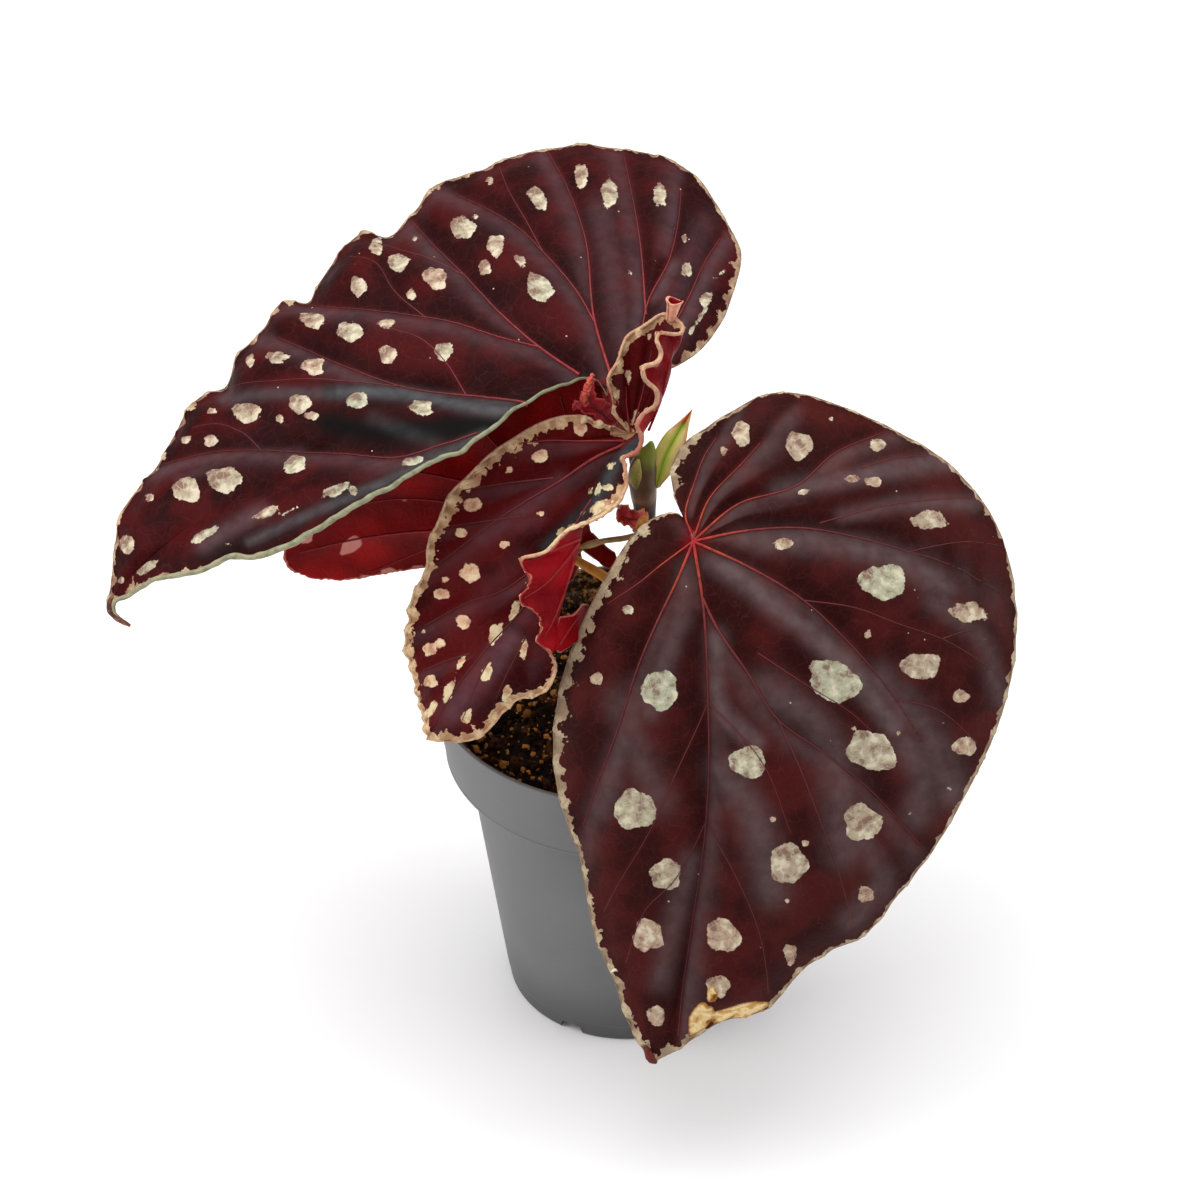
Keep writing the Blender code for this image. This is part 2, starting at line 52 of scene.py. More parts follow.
# %% Sheet and curves
MM = 0.001
SHEET_ORIGIN = np.array([-8.2, 0.0, 148.0])
SHEET_LEAN = math.radians(37.0)
UNITS_PER_MM = 3.28
SHEET_MIDDLE = 600.0
SIGHT_DISTANCE = 1200.0
RIGHT = np.array([1.0, 0.0, 0.0])
UP = np.array([0.0, math.sin(SHEET_LEAN), math.cos(SHEET_LEAN)])
TOWARD = np.array([0.0, -math.cos(SHEET_LEAN), math.sin(SHEET_LEAN)])
EYE = SHEET_ORIGIN + TOWARD * SIGHT_DISTANCE


def on_sheet(points):
    """World positions in mm of sheet points: units right, units down, mm toward the eye."""
    points = np.asarray(points, float)
    flat = SHEET_ORIGIN + RIGHT * (points[..., 0:1] - SHEET_MIDDLE) / UNITS_PER_MM
    flat = flat + UP * (SHEET_MIDDLE - points[..., 1:2]) / UNITS_PER_MM
    return EYE + (flat - EYE) * (1.0 - points[..., 2:3] / SIGHT_DISTANCE)


def to_sheet(points):
    """Sheet points of world positions in mm, as the eye sees them."""
    out = (points - SHEET_ORIGIN) @ TOWARD
    flat = EYE - SHEET_ORIGIN + (points - EYE) * (SIGHT_DISTANCE / (SIGHT_DISTANCE - out))[:, None]
    return np.column_stack([
        SHEET_MIDDLE + flat @ RIGHT * UNITS_PER_MM, SHEET_MIDDLE - flat @ UP * UNITS_PER_MM, out])


def smooth_rows(rows, places):
    """Rows of a smooth curve through all given rows, read at places from 0 to 1 of its length."""
    rows = np.array(rows, float)
    steps = np.linalg.norm(np.diff(rows[:, -3:], axis=0), axis=1)
    knots = np.concatenate([[0.0], np.cumsum(np.maximum(steps, 1e-6))])
    slopes = np.gradient(rows, knots, axis=0)
    at = np.asarray(places) * knots[-1]
    low = np.clip(np.searchsorted(knots, at, side="right") - 1, 0, len(knots) - 2)
    span = (knots[low + 1] - knots[low])[:, None]
    t = ((at - knots[low]) / span[:, 0])[:, None]
    start = rows[low] * (1 + 2 * t) * (1 - t) ** 2 + slopes[low] * span * t * (1 - t) ** 2
    end = rows[low + 1] * t * t * (3 - 2 * t) + slopes[low + 1] * span * t * t * (t - 1)
    return start + end, knots


def on_path(rows, samples):
    """Smooth path rows of half width and world position in mm from rows of half width and sheet point."""
    rows = np.array(rows, float)
    placed = np.column_stack([rows[:, 0], on_sheet(rows[:, 1:4])])
    return smooth_rows(placed, np.linspace(0, 1, samples))[0]


def waves(at, size, seed, count=6):
    """Smooth irregular wave between about -1 and 1, with bumps about size apart."""
    draw = np.random.default_rng(seed)
    at = np.asarray(at, float).reshape(len(at), -1)
    total = np.zeros(len(at))
    for _ in range(count):
        way = draw.normal(size=at.shape[1])
        way /= np.linalg.norm(way)
        total += np.sin(at @ way * 2 * math.pi / size * draw.uniform(0.6, 1.6) + draw.uniform(0, 6.28))
    return total / count * 1.7


print("eye at, in mm:", np.round(EYE))

# %% [markdown]
# ## Colours and nodes
# Colours are picked as sRGB hex codes, and Blender mixes light in linear values, so one function
# turns one into the other. One more function adds a shader or geometry node with its settings and
# links, which keeps each tree readable as a list of steps.

# %% Colour and node helpers
def srgb(code):
    """Linear colour of a hex code."""
    parts = [int(code[i:i + 2], 16) / 255 for i in (1, 3, 5)]
    linear = [c / 12.92 if c <= 0.04045 else ((c + 0.055) / 1.055) ** 2.4 for c in parts]
    return (*linear, 1.0)


def add(tree, kind, inputs=(), out=None, stops=(), order=range(9), **settings):
    """Add a node with its settings and links; gives back the node, or its output named or numbered out.

    Inputs are sockets, nodes (their first output), values or hex codes, by name, or as a row that goes to
    the sockets numbered by order. Stops are places and hex codes of a ramp."""
    made = tree.nodes.new(kind)
    for key, value in settings.items():
        setattr(made, key, value)
    for key, value in inputs.items() if isinstance(inputs, dict) else zip(order, inputs):
        socket = made.inputs[key]
        value = value.outputs[0] if isinstance(value, bpy.types.Node) else value
        if isinstance(value, bpy.types.NodeSocket):
            tree.links.new(value, socket)
        else:
            coded = isinstance(value, str) and value.startswith("#")
            socket.default_value = srgb(value) if coded else value
    while len(made.color_ramp.elements if stops else ()) < len(stops):
        made.color_ramp.elements.new(0.5)
    for i, (place, code) in enumerate(stops):
        made.color_ramp.elements[i].position = place
        made.color_ramp.elements[i].color = srgb(code)
    return made if out is None else made.outputs[out]


def finish_material(name):
    """New material with its tree and its Principled shader."""
    material = bpy.data.materials.new(name)
    material.use_nodes = True
    return material, material.node_tree, material.node_tree.nodes["Principled BSDF"]


def coat(tree, shader, colour, rough, shine, height, strength, depth):
    """Lead colour, roughness and a bump of that strength and depth in metres into the shader."""
    bump = add(tree, "ShaderNodeBump", {"Height": height, "Strength": strength, "Distance": depth}, "Normal")
    for label, value in (("Base Color", colour), ("Roughness", rough), ("Normal", bump)):
        tree.links.new(value, shader.inputs[label])
    shader.inputs["Specular IOR Level"].default_value = shine


# Node kinds and settings that come back often
MIX, MATH, STEP, NOISE = "ShaderNodeMix", "ShaderNodeMath", "ShaderNodeMapRange", "ShaderNodeTexNoise"
CELLS, STORED = "ShaderNodeTexVoronoi", "ShaderNodeAttribute"
RAMP, VECTOR = "ShaderNodeValToRGB", "ShaderNodeVectorMath"
COLOURS = {"out": 2, "data_type": "RGBA", "order": (0, 6, 7)}
SMOOTH = {"out": 0, "interpolation_type": "SMOOTHSTEP"}
TIMES, PLUS = {"out": 0, "operation": "MULTIPLY"}, {"out": 0, "operation": "ADD"}
TIMES_PLUS = {"out": 0, "operation": "MULTIPLY_ADD"}
LARGER = {"out": 0, "operation": "MAXIMUM"}


def stood(name, data):
    """Object of that name and data, in the scene."""
    made = bpy.data.objects.new(name, data)
    bpy.context.collection.objects.link(made)
    return made


def store(mesh, label, values):
    """Store one number for each point of the mesh."""
    mesh.attributes.new(label, "FLOAT", "POINT").data.foreach_set("value", values)


# %% [markdown]
# ## Studio
# The photograph looks down 37 degrees from 1.2 m in a white studio: soft light from all round and
# above, a white floor and a faint grey shadow round the pot's foot. The camera stands at the drafting
# sheet's eye, and its lens gives 3.28 pixels to the millimetre in a 1200-pixel frame.

# %% Camera
SENSOR = 36.0
FRAME_PIXELS = 1200.0

camera_data = bpy.data.cameras.new("camera")
camera_data.sensor_width = SENSOR
camera_data.lens = UNITS_PER_MM * SIGHT_DISTANCE * SENSOR / FRAME_PIXELS
camera_data.clip_end = 20.0
camera = stood("camera", camera_data)
axes = Matrix((RIGHT, UP, TOWARD)).transposed().to_4x4()
camera.matrix_world = Matrix.Translation(Vector(EYE * MM)) @ axes
bpy.context.scene.camera = camera
bpy.context.scene.view_settings.view_transform = "Standard"
print("lens in mm:", round(camera_data.lens, 1))

# %% Light
world = bpy.data.worlds.new("white studio")
bpy.context.scene.world = world
world.use_nodes = True
world.node_tree.nodes["Background"].inputs["Color"].default_value = (1.0, 1.0, 1.0, 1.0)
world.node_tree.nodes["Background"].inputs["Strength"].default_value = 0.55


def soft_light(name, place, aim, size, power, tint):
    """Square soft box at place, turned to aim, hidden from the camera."""
    lamp = bpy.data.lights.new(name, "AREA")
    lamp.size = size
    lamp.energy = power
    lamp.color = tint
    box = stood(name, lamp)
    box.location = place
    box.rotation_euler = (Vector(aim) - Vector(place)).to_track_quat("-Z", "Y").to_euler()
    box.visible_camera = False


soft_light("top box", (-0.1, 0.1, 1.25), (0, 0.0, 0.1), 1.3, 13.0, (1.0, 1.0, 1.0))
soft_light("left box", (-1.0, -0.2, 0.8), (0, 0, 0.12), 0.7, 6.0, (1.0, 0.99, 0.98))
soft_light("right fill", (1.0, -0.2, 0.7), (0, 0, 0.12), 0.8, 4.0, (1.0, 1.0, 1.0))

# %% Floor
FLOOR_HALF = 4.0
floor_mesh = bpy.data.meshes.new("studio_floor")
floor_corners = [(-1, -1), (1, -1), (1, 1), (-1, 1)]
floor_mesh.from_pydata([(x * FLOOR_HALF, y * FLOOR_HALF, 0) for x, y in floor_corners], [], [(0, 1, 2, 3)])
floor = stood("studio_floor", floor_mesh)
paper, tree, shader = finish_material("white studio paper")
grain = add(tree, NOISE, {"Scale": 40.0, "Detail": 4.0}, "Fac")
fibres = add(tree, RAMP, {"Fac": grain}, "Color", stops=[(0.0, "#f6f6f7"), (1.0, "#fafafa")])
tree.links.new(fibres, shader.inputs["Base Color"])
shader.inputs["Roughness"].default_value = 0.9
shader.inputs["Specular IOR Level"].default_value = 0.1
floor_mesh.materials.append(paper)
print("stage: 1 floor, 3 soft boxes")

# %% [markdown]
# ## Stalks and veins: one rule for all
# A stem, a petiole and a vein are all a round thing that follows a path and gets thinner. That is a
# rule, so Geometry Nodes sweep a circle along a line of points whose half width is stored on each
# point. A little noise along the normals takes away the machined look.

# %% Geometry Nodes: sweep along a path
def new_tree(name, sockets):
    """Geometry node tree with named inputs, given as name, socket type and value."""
    tree = bpy.data.node_groups.new(name, "GeometryNodeTree")
    tree.interface.new_socket("Geometry", in_out="INPUT", socket_type="NodeSocketGeometry")
    tree.interface.new_socket("Geometry", in_out="OUTPUT", socket_type="NodeSocketGeometry")
    for label, kind, value in sockets:
        socket = tree.interface.new_socket(label, in_out="INPUT", socket_type=kind)
        if value is not None:
            socket.default_value = value
    return tree, add(tree, "NodeGroupInput"), add(tree, "NodeGroupOutput")


def grown(tree, name, base_mesh, values):
    """Plain mesh object made by a node tree from a base mesh, its inputs set by their identifiers."""
    maker = stood(name + "_maker", base_mesh)
    nodes = maker.modifiers.new("nodes", "NODES")
    nodes.node_group = tree
    for item in tree.interface.items_tree:
        if item.in_out == "INPUT" and item.name in values:
            nodes[item.identifier] = values[item.name]
    bpy.context.view_layer.update()
    shape = maker.evaluated_get(bpy.context.evaluated_depsgraph_get())
    mesh = bpy.data.meshes.new_from_object(shape)
    mesh.name = name
    bpy.data.objects.remove(maker, do_unlink=True)
    return stood(name, mesh)


stalk_tree, stalk_in, stalk_out = new_tree("stalk along a path", [
    ("Sides", "NodeSocketInt", 12), ("Bump height", "NodeSocketFloat", 0.0),
    ("Bump size", "NodeSocketFloat", 0.004), ("Material", "NodeSocketMaterial", None)])
half_width = add(stalk_tree, "GeometryNodeInputNamedAttribute", {"Name": "half_width"})
path_curve = add(stalk_tree, "GeometryNodeMeshToCurve", {"Mesh": stalk_in})
ring = add(stalk_tree, "GeometryNodeCurvePrimitiveCircle", {
    "Resolution": stalk_in.outputs["Sides"], "Radius": 1.0})
swept = add(stalk_tree, "GeometryNodeCurveToMesh", {
    "Curve": path_curve, "Profile Curve": ring,
    "Scale": half_width, "Fill Caps": True})
bump_scale = add(stalk_tree, MATH, (1.0, stalk_in.outputs["Bump size"]), operation="DIVIDE")
bump_noise = add(stalk_tree, NOISE, {"Scale": bump_scale, "Detail": 3.0})
bump_centred = add(stalk_tree, MATH, (bump_noise, 0.5), operation="SUBTRACT")
bump_height = add(stalk_tree, MATH, (bump_centred, stalk_in.outputs["Bump height"]), operation="MULTIPLY")
outward = add(stalk_tree, "GeometryNodeInputNormal")
push = add(stalk_tree, VECTOR, {0: outward, "Scale": bump_height}, operation="SCALE")
bumped = add(stalk_tree, "GeometryNodeSetPosition", {"Geometry": swept, "Offset": push})
rounded_off = add(stalk_tree, "GeometryNodeSetShadeSmooth", {"Geometry": bumped, "Shade Smooth": True})
realized = add(stalk_tree, "GeometryNodeRealizeInstances", {"Geometry": rounded_off})
finished = add(stalk_tree, "GeometryNodeSetMaterial", {
    "Geometry": realized, "Material": stalk_in.outputs["Material"]})
stalk_tree.links.new(finished.outputs["Geometry"], stalk_out.inputs["Geometry"])


def stalks(name, paths, material, sides=12, bump=0.0, bump_size=4.0):
    """One object of stalks, each a path of rows: half width, world position in mm, and the colour's place."""
    points = []
    edges = []
    widths = []
    along = []
    for rows in paths:
        first = len(points)
        points += [tuple(row[1:4] * MM) for row in rows]
        widths += [row[0] * MM for row in rows]
        along += list(rows[:, 4]) if rows.shape[1] > 4 else list(np.linspace(0.0, 1.0, len(rows)))
        edges += [(first + i, first + i + 1) for i in range(len(rows) - 1)]
    mesh = bpy.data.meshes.new(name + "_paths")
    mesh.from_pydata(points, edges, [])
    store(mesh, "half_width", widths)
    store(mesh, "along", along)
    values = {"Sides": sides, "Bump height": bump * MM, "Bump size": bump_size * MM, "Material": material}
    return grown(stalk_tree, name, mesh, values)


def join(main, *others):
    """Merge the other objects into the main one."""
    with bpy.context.temp_override(active_object=main, selected_editable_objects=[main, *others]):
        bpy.ops.object.join()


def stand_for(piece, node):
    """The piece rides on the one body and replaces its CAD node."""
    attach(piece, "root")
    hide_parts(node)
    piece.data.calc_loop_triangles()
    print(piece.name, "for", node + ":", len(piece.data.loop_triangles), "triangles")


# %% [markdown]
# ## Leaf finishes
# A begonia leaf has a waxy skin over maroon tissue, with pale spots where air lies under the skin,
# and a dry beige margin. Geometry can't carry an edge as fine as a spot's, and a picture of
# the leaf isn't wanted, so each vertex stores how far it is inside a spot, from the margin and from
# a vein, in millimetres. The material breaks those distances up with noise and turns them into colour.
# Soft strokes and the sides of the veins also store painted sheen and painted shade, which the material mixes
# into the colour, and the spots and the crimped margin get painted light too.

# %% Leaf top material
PER_MM = 1000.0


def leaf_top(name, deep, warm, shadow, sheen, spot_colours, margin_colours):
    """Waxy begonia leaf skin: roughness near 0.5, faint pebbled bump, spots and a dry margin, with painted
    shade and a painted grey sheen mixed into its colour.
    """
    material, tree, shader = finish_material(name)
    stored = {label: add(tree, STORED, out="Fac", attribute_name=label) for label in (
        "vein", "spot", "tone", "edge", "spot_light_side", "sheen", "shade_band", "painted_shade", "dry", "heart", "fold")}
    place = add(tree, "ShaderNodeTexCoord", out="Object")
    patches = add(tree, NOISE, {"Vector": place, "Scale": PER_MM / 14, "Detail": 3.0}, "Fac")
    blotches = add(tree, NOISE, {"Vector": place, "Scale": PER_MM / 4.0, "Detail": 4.0}, "Fac")
    fine = add(tree, NOISE, {"Vector": place, "Scale": PER_MM / 1.1, "Detail": 5.0, "Roughness": 0.65}, "Fac")
    # Net of fine veins, about 4 mm between lines, bent by noise
    bend = add(tree, NOISE, {"Vector": place, "Scale": PER_MM / 6.0}, "Color")
    bent = add(tree, MIX, {0: 0.004, 4: place, 5: bend}, 1, data_type="VECTOR")
    net = add(tree, CELLS, {"Vector": bent, "Scale": PER_MM / 4.2}, "Distance", feature="DISTANCE_TO_EDGE")

    # Living tissue: patchy maroon, painted blackish red shade on the side of a vein away from the light and
    # under dark strokes, dark painted shade bands, and a painted grey sheen
    patchy = add(tree, STEP, (patches, 0.36, 0.64), **SMOOTH)
    colour = add(tree, MIX, (patchy, deep, warm), **COLOURS)
    shaded = add(tree, MATH, (stored["painted_shade"], 0.85), **TIMES)
    colour = add(tree, MIX, (shaded, colour, shadow), **COLOURS)
    dusty = add(tree, STEP, (fine, 0.4, 0.75, 0.0, 0.05), **SMOOTH)
    colour = add(tree, MIX, (dusty, colour, "#6a3a38"), **COLOURS)
    lines = add(tree, STEP, (net, 0.0, 0.035, 0.08, 0.0), **SMOOTH)
    colour = add(tree, MIX, (lines, colour, "#7a4440"), **COLOURS)
    # Dark bands of painted shade; on them the painted sheen turns cool grey
    colour = add(tree, MIX, (stored["shade_band"], colour, "#080606"), **COLOURS)
    painted_sheen_colour = add(tree, MIX, (stored["shade_band"], sheen, "#494c4e"), **COLOURS)
    # Painted grey sheen, broken up by blotches
    uneven = add(tree, STEP, (blotches, 0.25, 0.75, 0.65, 1.1), **SMOOTH)
    shine = add(tree, MATH, (stored["sheen"], uneven), **TIMES)
    colour = add(tree, MIX, (shine, colour, painted_sheen_colour), **COLOURS)
    beside_vein = add(tree, STEP, (stored["vein"], 0.2, 1.2, 0.25, 0.0), **SMOOTH)
    colour = add(tree, MIX, (beside_vein, colour, "#5a181a"), **COLOURS)
    colour = add(tree, MIX, (stored["heart"], colour, "#8c0e18"), **COLOURS)
    flecks = add(tree, CELLS, {"Vector": place, "Scale": PER_MM / 6.0})
    fleck = add(tree, STEP, (flecks.outputs["Distance"], 0.03, 0.055, 1.0, 0.0), **SMOOTH)
    few = add(tree, STEP, (flecks.outputs["Color"], 0.52, 0.58), **SMOOTH)
    fleck = add(tree, MATH, (fleck, few), **TIMES)
    colour = add(tree, MIX, (fleck, colour, "#bfa393"), **COLOURS)

    # Spots: the stored distance with two sizes of noise; air under the skin is thicker here and there, and each
    # spot also gets painted shade on its upper left and a painted highlight on its lower right
    ragged = add(tree, MATH, (fine, 1.3, -0.65), **TIMES_PLUS)
    ragged = add(tree, MATH, (blotches, 2.4, ragged), **TIMES_PLUS)
    depth = add(tree, MATH, (stored["spot"], ragged), **PLUS)
    in_spot = add(tree, STEP, (depth, 1.12, 1.3), **SMOOTH)
    crinkle = add(tree, CELLS, {"Vector": bent, "Scale": PER_MM / 2.6}, "Distance", feature="DISTANCE_TO_EDGE")
    spot_colour = add(tree, MIX, (stored["tone"], spot_colours[1], spot_colours[2]), **COLOURS)
    cloudy = add(tree, NOISE, {"Vector": place, "Scale": PER_MM / 3.0, "Detail": 3.0}, "Fac")
    leaning = add(tree, MATH, (stored["spot_light_side"], 0.14, cloudy), **TIMES_PLUS)
    spot_shade_patches = add(tree, STEP, (leaning, 0.34, 0.52, 0.85, 0.0), **SMOOTH)
    spot_colour = add(tree, MIX, (spot_shade_patches, spot_colour, spot_colours[0]), **COLOURS)
    spot_highlight_patches = add(tree, STEP, (leaning, 0.52, 0.68, 0.0, 0.7), **SMOOTH)
    spot_colour = add(tree, MIX, (spot_highlight_patches, spot_colour, spot_colours[3]), **COLOURS)
    wrinkle = add(tree, STEP, (crinkle, 0.0, 0.05, 0.35, 0.0), **SMOOTH)
    spot_colour = add(tree, MIX, (wrinkle, spot_colour, spot_colours[3]), **COLOURS)
    colour = add(tree, MIX, (in_spot, colour, spot_colour), **COLOURS)

    # Dry margin: the stored ratio is 1 at the band's inner edge, which is toothed
    teeth = add(tree, NOISE, {"Vector": place, "Scale": PER_MM / 2.0, "Detail": 2.0}, "Fac")
    band = add(tree, MATH, (teeth, 2.2, stored["edge"]), **TIMES_PLUS)
    in_band = add(tree, STEP, (band, 2.04, 2.12, 1.0, 0.0), **SMOOTH)
    # Painted highlight on the crimped margin's crests and painted shade in its troughs, with random blotches
    crest_highlight_and_blotches = add(tree, MATH, (blotches, 1.2, -0.6), **TIMES_PLUS)
    crest_highlight_and_blotches = add(tree, MATH, (stored["fold"], crest_highlight_and_blotches), **PLUS)
    crest_highlight_and_blotches = add(tree, STEP, (crest_highlight_and_blotches, -0.5, 0.7), **SMOOTH)
    band_colour = add(tree, MIX, (crest_highlight_and_blotches, margin_colours[0], margin_colours[1]), **COLOURS)
    worn = add(tree, STEP, (fine, 0.38, 0.55, 0.45, 0.0), **SMOOTH)
    band_colour = add(tree, MIX, (worn, band_colour, margin_colours[2]), **COLOURS)
    colour = add(tree, MIX, (in_band, colour, band_colour), **COLOURS)

    # Dry papery tissue, golden with brown fold lines
    torn = add(tree, MATH, (fine, 0.8, stored["dry"]), **TIMES_PLUS)
    parched = add(tree, STEP, (torn, 0.36, 0.52), **SMOOTH)
    paper = add(tree, RAMP, {"Fac": blotches}, "Color", stops=[
        (0.34, "#6e431c"), (0.42, "#c19a5e"), (0.55, "#e0c998"), (0.66, "#b98a48")])
    scorched = add(tree, STEP, (torn, 0.5, 1.1, 0.8, 0.0), **SMOOTH)
    paper = add(tree, MIX, (scorched, paper, "#8f5c26"), **COLOURS)
    colour = add(tree, MIX, (parched, colour, paper), **COLOURS)

    pale = add(tree, MATH, (in_band, parched), **LARGER)
    pale = add(tree, MATH, (in_spot, pale), **LARGER)
    rough = add(tree, STEP, (pale, 0.0, 1.0, 0.42, 0.6), **SMOOTH)
    rough = add(tree, MATH, (fine, 0.12, rough), **TIMES_PLUS)
    # Skin relief: low pebbles between the net's lines, small crinkles on pale tissue
    pebbles = add(tree, STEP, (net, 0.0, 0.25, 0.0, 0.5), **SMOOTH)
    height = add(tree, MATH, (fine, 0.5, pebbles), **TIMES_PLUS)
    creases = add(tree, STEP, (crinkle, 0.0, 0.2, 0.0, 0.6), **SMOOTH)
    creases = add(tree, MATH, (creases, pale), **TIMES)
    height = add(tree, MATH, (height, creases), **PLUS)
    coat(tree, shader, colour, rough, 0.04, height, 0.3, 0.00025)
    return material


# Spot colours: the painted shade side, the base, the silvery tone, and the pale side that is a painted
# highlight and also lines the crinkles
tan_spots = ("#74544a", "#a58b76", "#9fa088", "#d2c8b0")
pink_spots = ("#a5705a", "#c9a184", "#cbbf96", "#dccaa6")
# Each finish: its name, two tissue colours, its painted shade colour, its painted sheen colour, then spot and
# margin colours
top_finishes = {
    "upper_left_leaf": leaf_top(
        "waxy maroon begonia leaf", "#230304", "#3f080a", "#1c0203", "#574145",
        tan_spots, ("#8a6a56", "#b8a284", "#7d5a48")),
    "front_right_leaf": leaf_top(
        "waxy brown-maroon begonia leaf", "#2a0b0b", "#401311", "#200404", "#5e4d4e",
        tan_spots, ("#8c7862", "#b3a286", "#7a604c")),
    "centre_leaf": leaf_top(
        "waxy deep red begonia leaf", "#2c0305", "#4a0a0b", "#4a0204", "#5a3a40",
        pink_spots, ("#a07858", "#d6b892", "#94694c")),
}

# %% Leaf underside material
def leaf_under(name, deep, bright):
    """Crimson underside of a begonia leaf: satin, with a raised net of veins and the spots' pale backs."""
    material, tree, shader = finish_material(name)
    stored = {label: add(tree, STORED, out="Fac", attribute_name=label) for label in ("vein", "spot", "edge")}
    place = add(tree, "ShaderNodeTexCoord", out="Object")
    patches = add(tree, NOISE, {"Vector": place, "Scale": PER_MM / 18, "Detail": 2.0}, "Fac")
    blotches = add(tree, NOISE, {"Vector": place, "Scale": PER_MM / 4.0, "Detail": 4.0}, "Fac")
    fine = add(tree, NOISE, {"Vector": place, "Scale": PER_MM / 1.2, "Detail": 4.0}, "Fac")
    net = add(tree, CELLS, {"Vector": place, "Scale": PER_MM / 3.6}, "Distance", feature="DISTANCE_TO_EDGE")
    patchy = add(tree, STEP, (patches, 0.3, 0.7), **SMOOTH)
    colour = add(tree, MIX, (patchy, deep, bright), **COLOURS)
    beside_vein = add(tree, STEP, (stored["vein"], 0.0, 6.0, 0.35, 0.0), **SMOOTH)
    colour = add(tree, MIX, (beside_vein, colour, deep), **COLOURS)
    lines = add(tree, STEP, (net, 0.0, 0.05, 0.07, 0.0), **SMOOTH)
    colour = add(tree, MIX, (lines, colour, "#b5302c"), **COLOURS)
    dusty = add(tree, STEP, (fine, 0.4, 0.8, 0.0, 0.02), **SMOOTH)
    colour = add(tree, MIX, (dusty, colour, "#b84a44"), **COLOURS)
    depth = add(tree, MATH, (blotches, 1.6, stored["spot"]), **TIMES_PLUS)
    through = add(tree, STEP, (depth, 0.7, 1.15, 0.0, 0.8), **SMOOTH)
    colour = add(tree, MIX, (through, colour, "#cf8a80"), **COLOURS)
    band = add(tree, MATH, (blotches, 1.2, stored["edge"]), **TIMES_PLUS)
    rim = add(tree, STEP, (band, 0.95, 1.2, 0.8, 0.0), **SMOOTH)
    colour = add(tree, MIX, (rim, colour, "#b5675a"), **COLOURS)
    rough = add(tree, STEP, (blotches, 0.3, 0.7, 0.4, 0.52), **SMOOTH)
    raised = add(tree, STEP, (net, 0.0, 0.12, 0.5, 0.0), **SMOOTH)
    height = add(tree, MATH, (fine, 0.7, raised), **TIMES_PLUS)
    coat(tree, shader, colour, rough, 0.05, height, 0.35, 0.0003)
    return material


crimson_under = leaf_under("satin crimson leaf underside", "#5c0305", "#900a0a")
bright_under = leaf_under("satin bright crimson leaf underside", "#66040c", "#9a0a17")


# %% Vein and rim materials
def ridge_skin(name, stops, fleck, size=2.5):
    """Smooth skin of a vein or rim: stops give its colour from base to tip, flecks break it up."""
    material, tree, shader = finish_material(name)
    place = add(tree, "ShaderNodeTexCoord", out="Object")
    along = add(tree, STORED, out="Fac", attribute_name="along")
    fine = add(tree, NOISE, {"Vector": place, "Scale": PER_MM / size, "Detail": 3.0}, "Fac")
    colour = add(tree, RAMP, {"Fac": along}, "Color", stops=stops)
    flecked = add(tree, STEP, (fine, 0.4, 0.7, 0.0, 0.6), **SMOOTH)
    colour = add(tree, MIX, (flecked, colour, fleck), **COLOURS)
    rough = add(tree, STEP, (fine, 0.3, 0.7, 0.42, 0.55), **SMOOTH)
    coat(tree, shader, colour, rough, 0.25, fine, 0.4, 0.0003)
    return material


vein_red = ridge_skin("red leaf vein", [
    (0.0, "#9a2a2c"), (0.25, "#84282b"), (0.6, "#5f2427"), (1.0, "#431d1f")], "#5c1e22")
vein_orange = ridge_skin("orange leaf vein", [
    (0.0, "#a01c26"), (0.08, "#a84028"), (0.2, "#7c2e2c"), (0.4, "#5c2628"), (1.0, "#3e2022")], "#562024")
vein_under = ridge_skin("crimson raised vein", [
    (0.0, "#9a1418"), (0.4, "#8a0f14"), (0.95, "#740a0e")], "#6a080c")
rolled_rim = ridge_skin("rolled grey-green leaf rim", [
    (0.0, "#6c6d54"), (0.3, "#8c8d70"), (1.0, "#9b9476")], "#5e5e46")
thin_rim = ridge_skin("thin beige leaf rim", [(0.0, "#6e4a3c"), (0.5, "#987a5e"), (1.0, "#8a6a52")], "#6a483a")
cream_rim = ridge_skin("crimped cream leaf rim", [
    (0.0, "#b9937a"), (0.5, "#cfb291"), (1.0, "#c9ab86")], "#8f6850", 1.6)
flap_rim = ridge_skin("cream rim that is crimson on the flap", [
    (0.0, "#bc9474"), (0.2, "#c29a78"), (0.26, "#c8a482"), (0.36, "#b98c70"), (0.43, "#a2584a"),
    (0.47, "#bc8c6c"),
    (0.54, "#d8c096"), (0.6, "#c89c78"), (0.62, "#96181f"), (0.78, "#84141c"), (0.82, "#c9a684"),
], "#9a5a48", 1.6)

# %% [markdown]
# ## Leaf blades
# Each blade is a thin shell between a midrib and two margins. Ribs run from the midrib to the margin as
# smooth curves, which gives a grid that can be as fine as wanted. The shell is then pushed up between
# its veins, crimped along its margin and given a thickness that thins toward the edge, as in
# the living leaf. This is mesh code, because no single rule gives these four outlines.

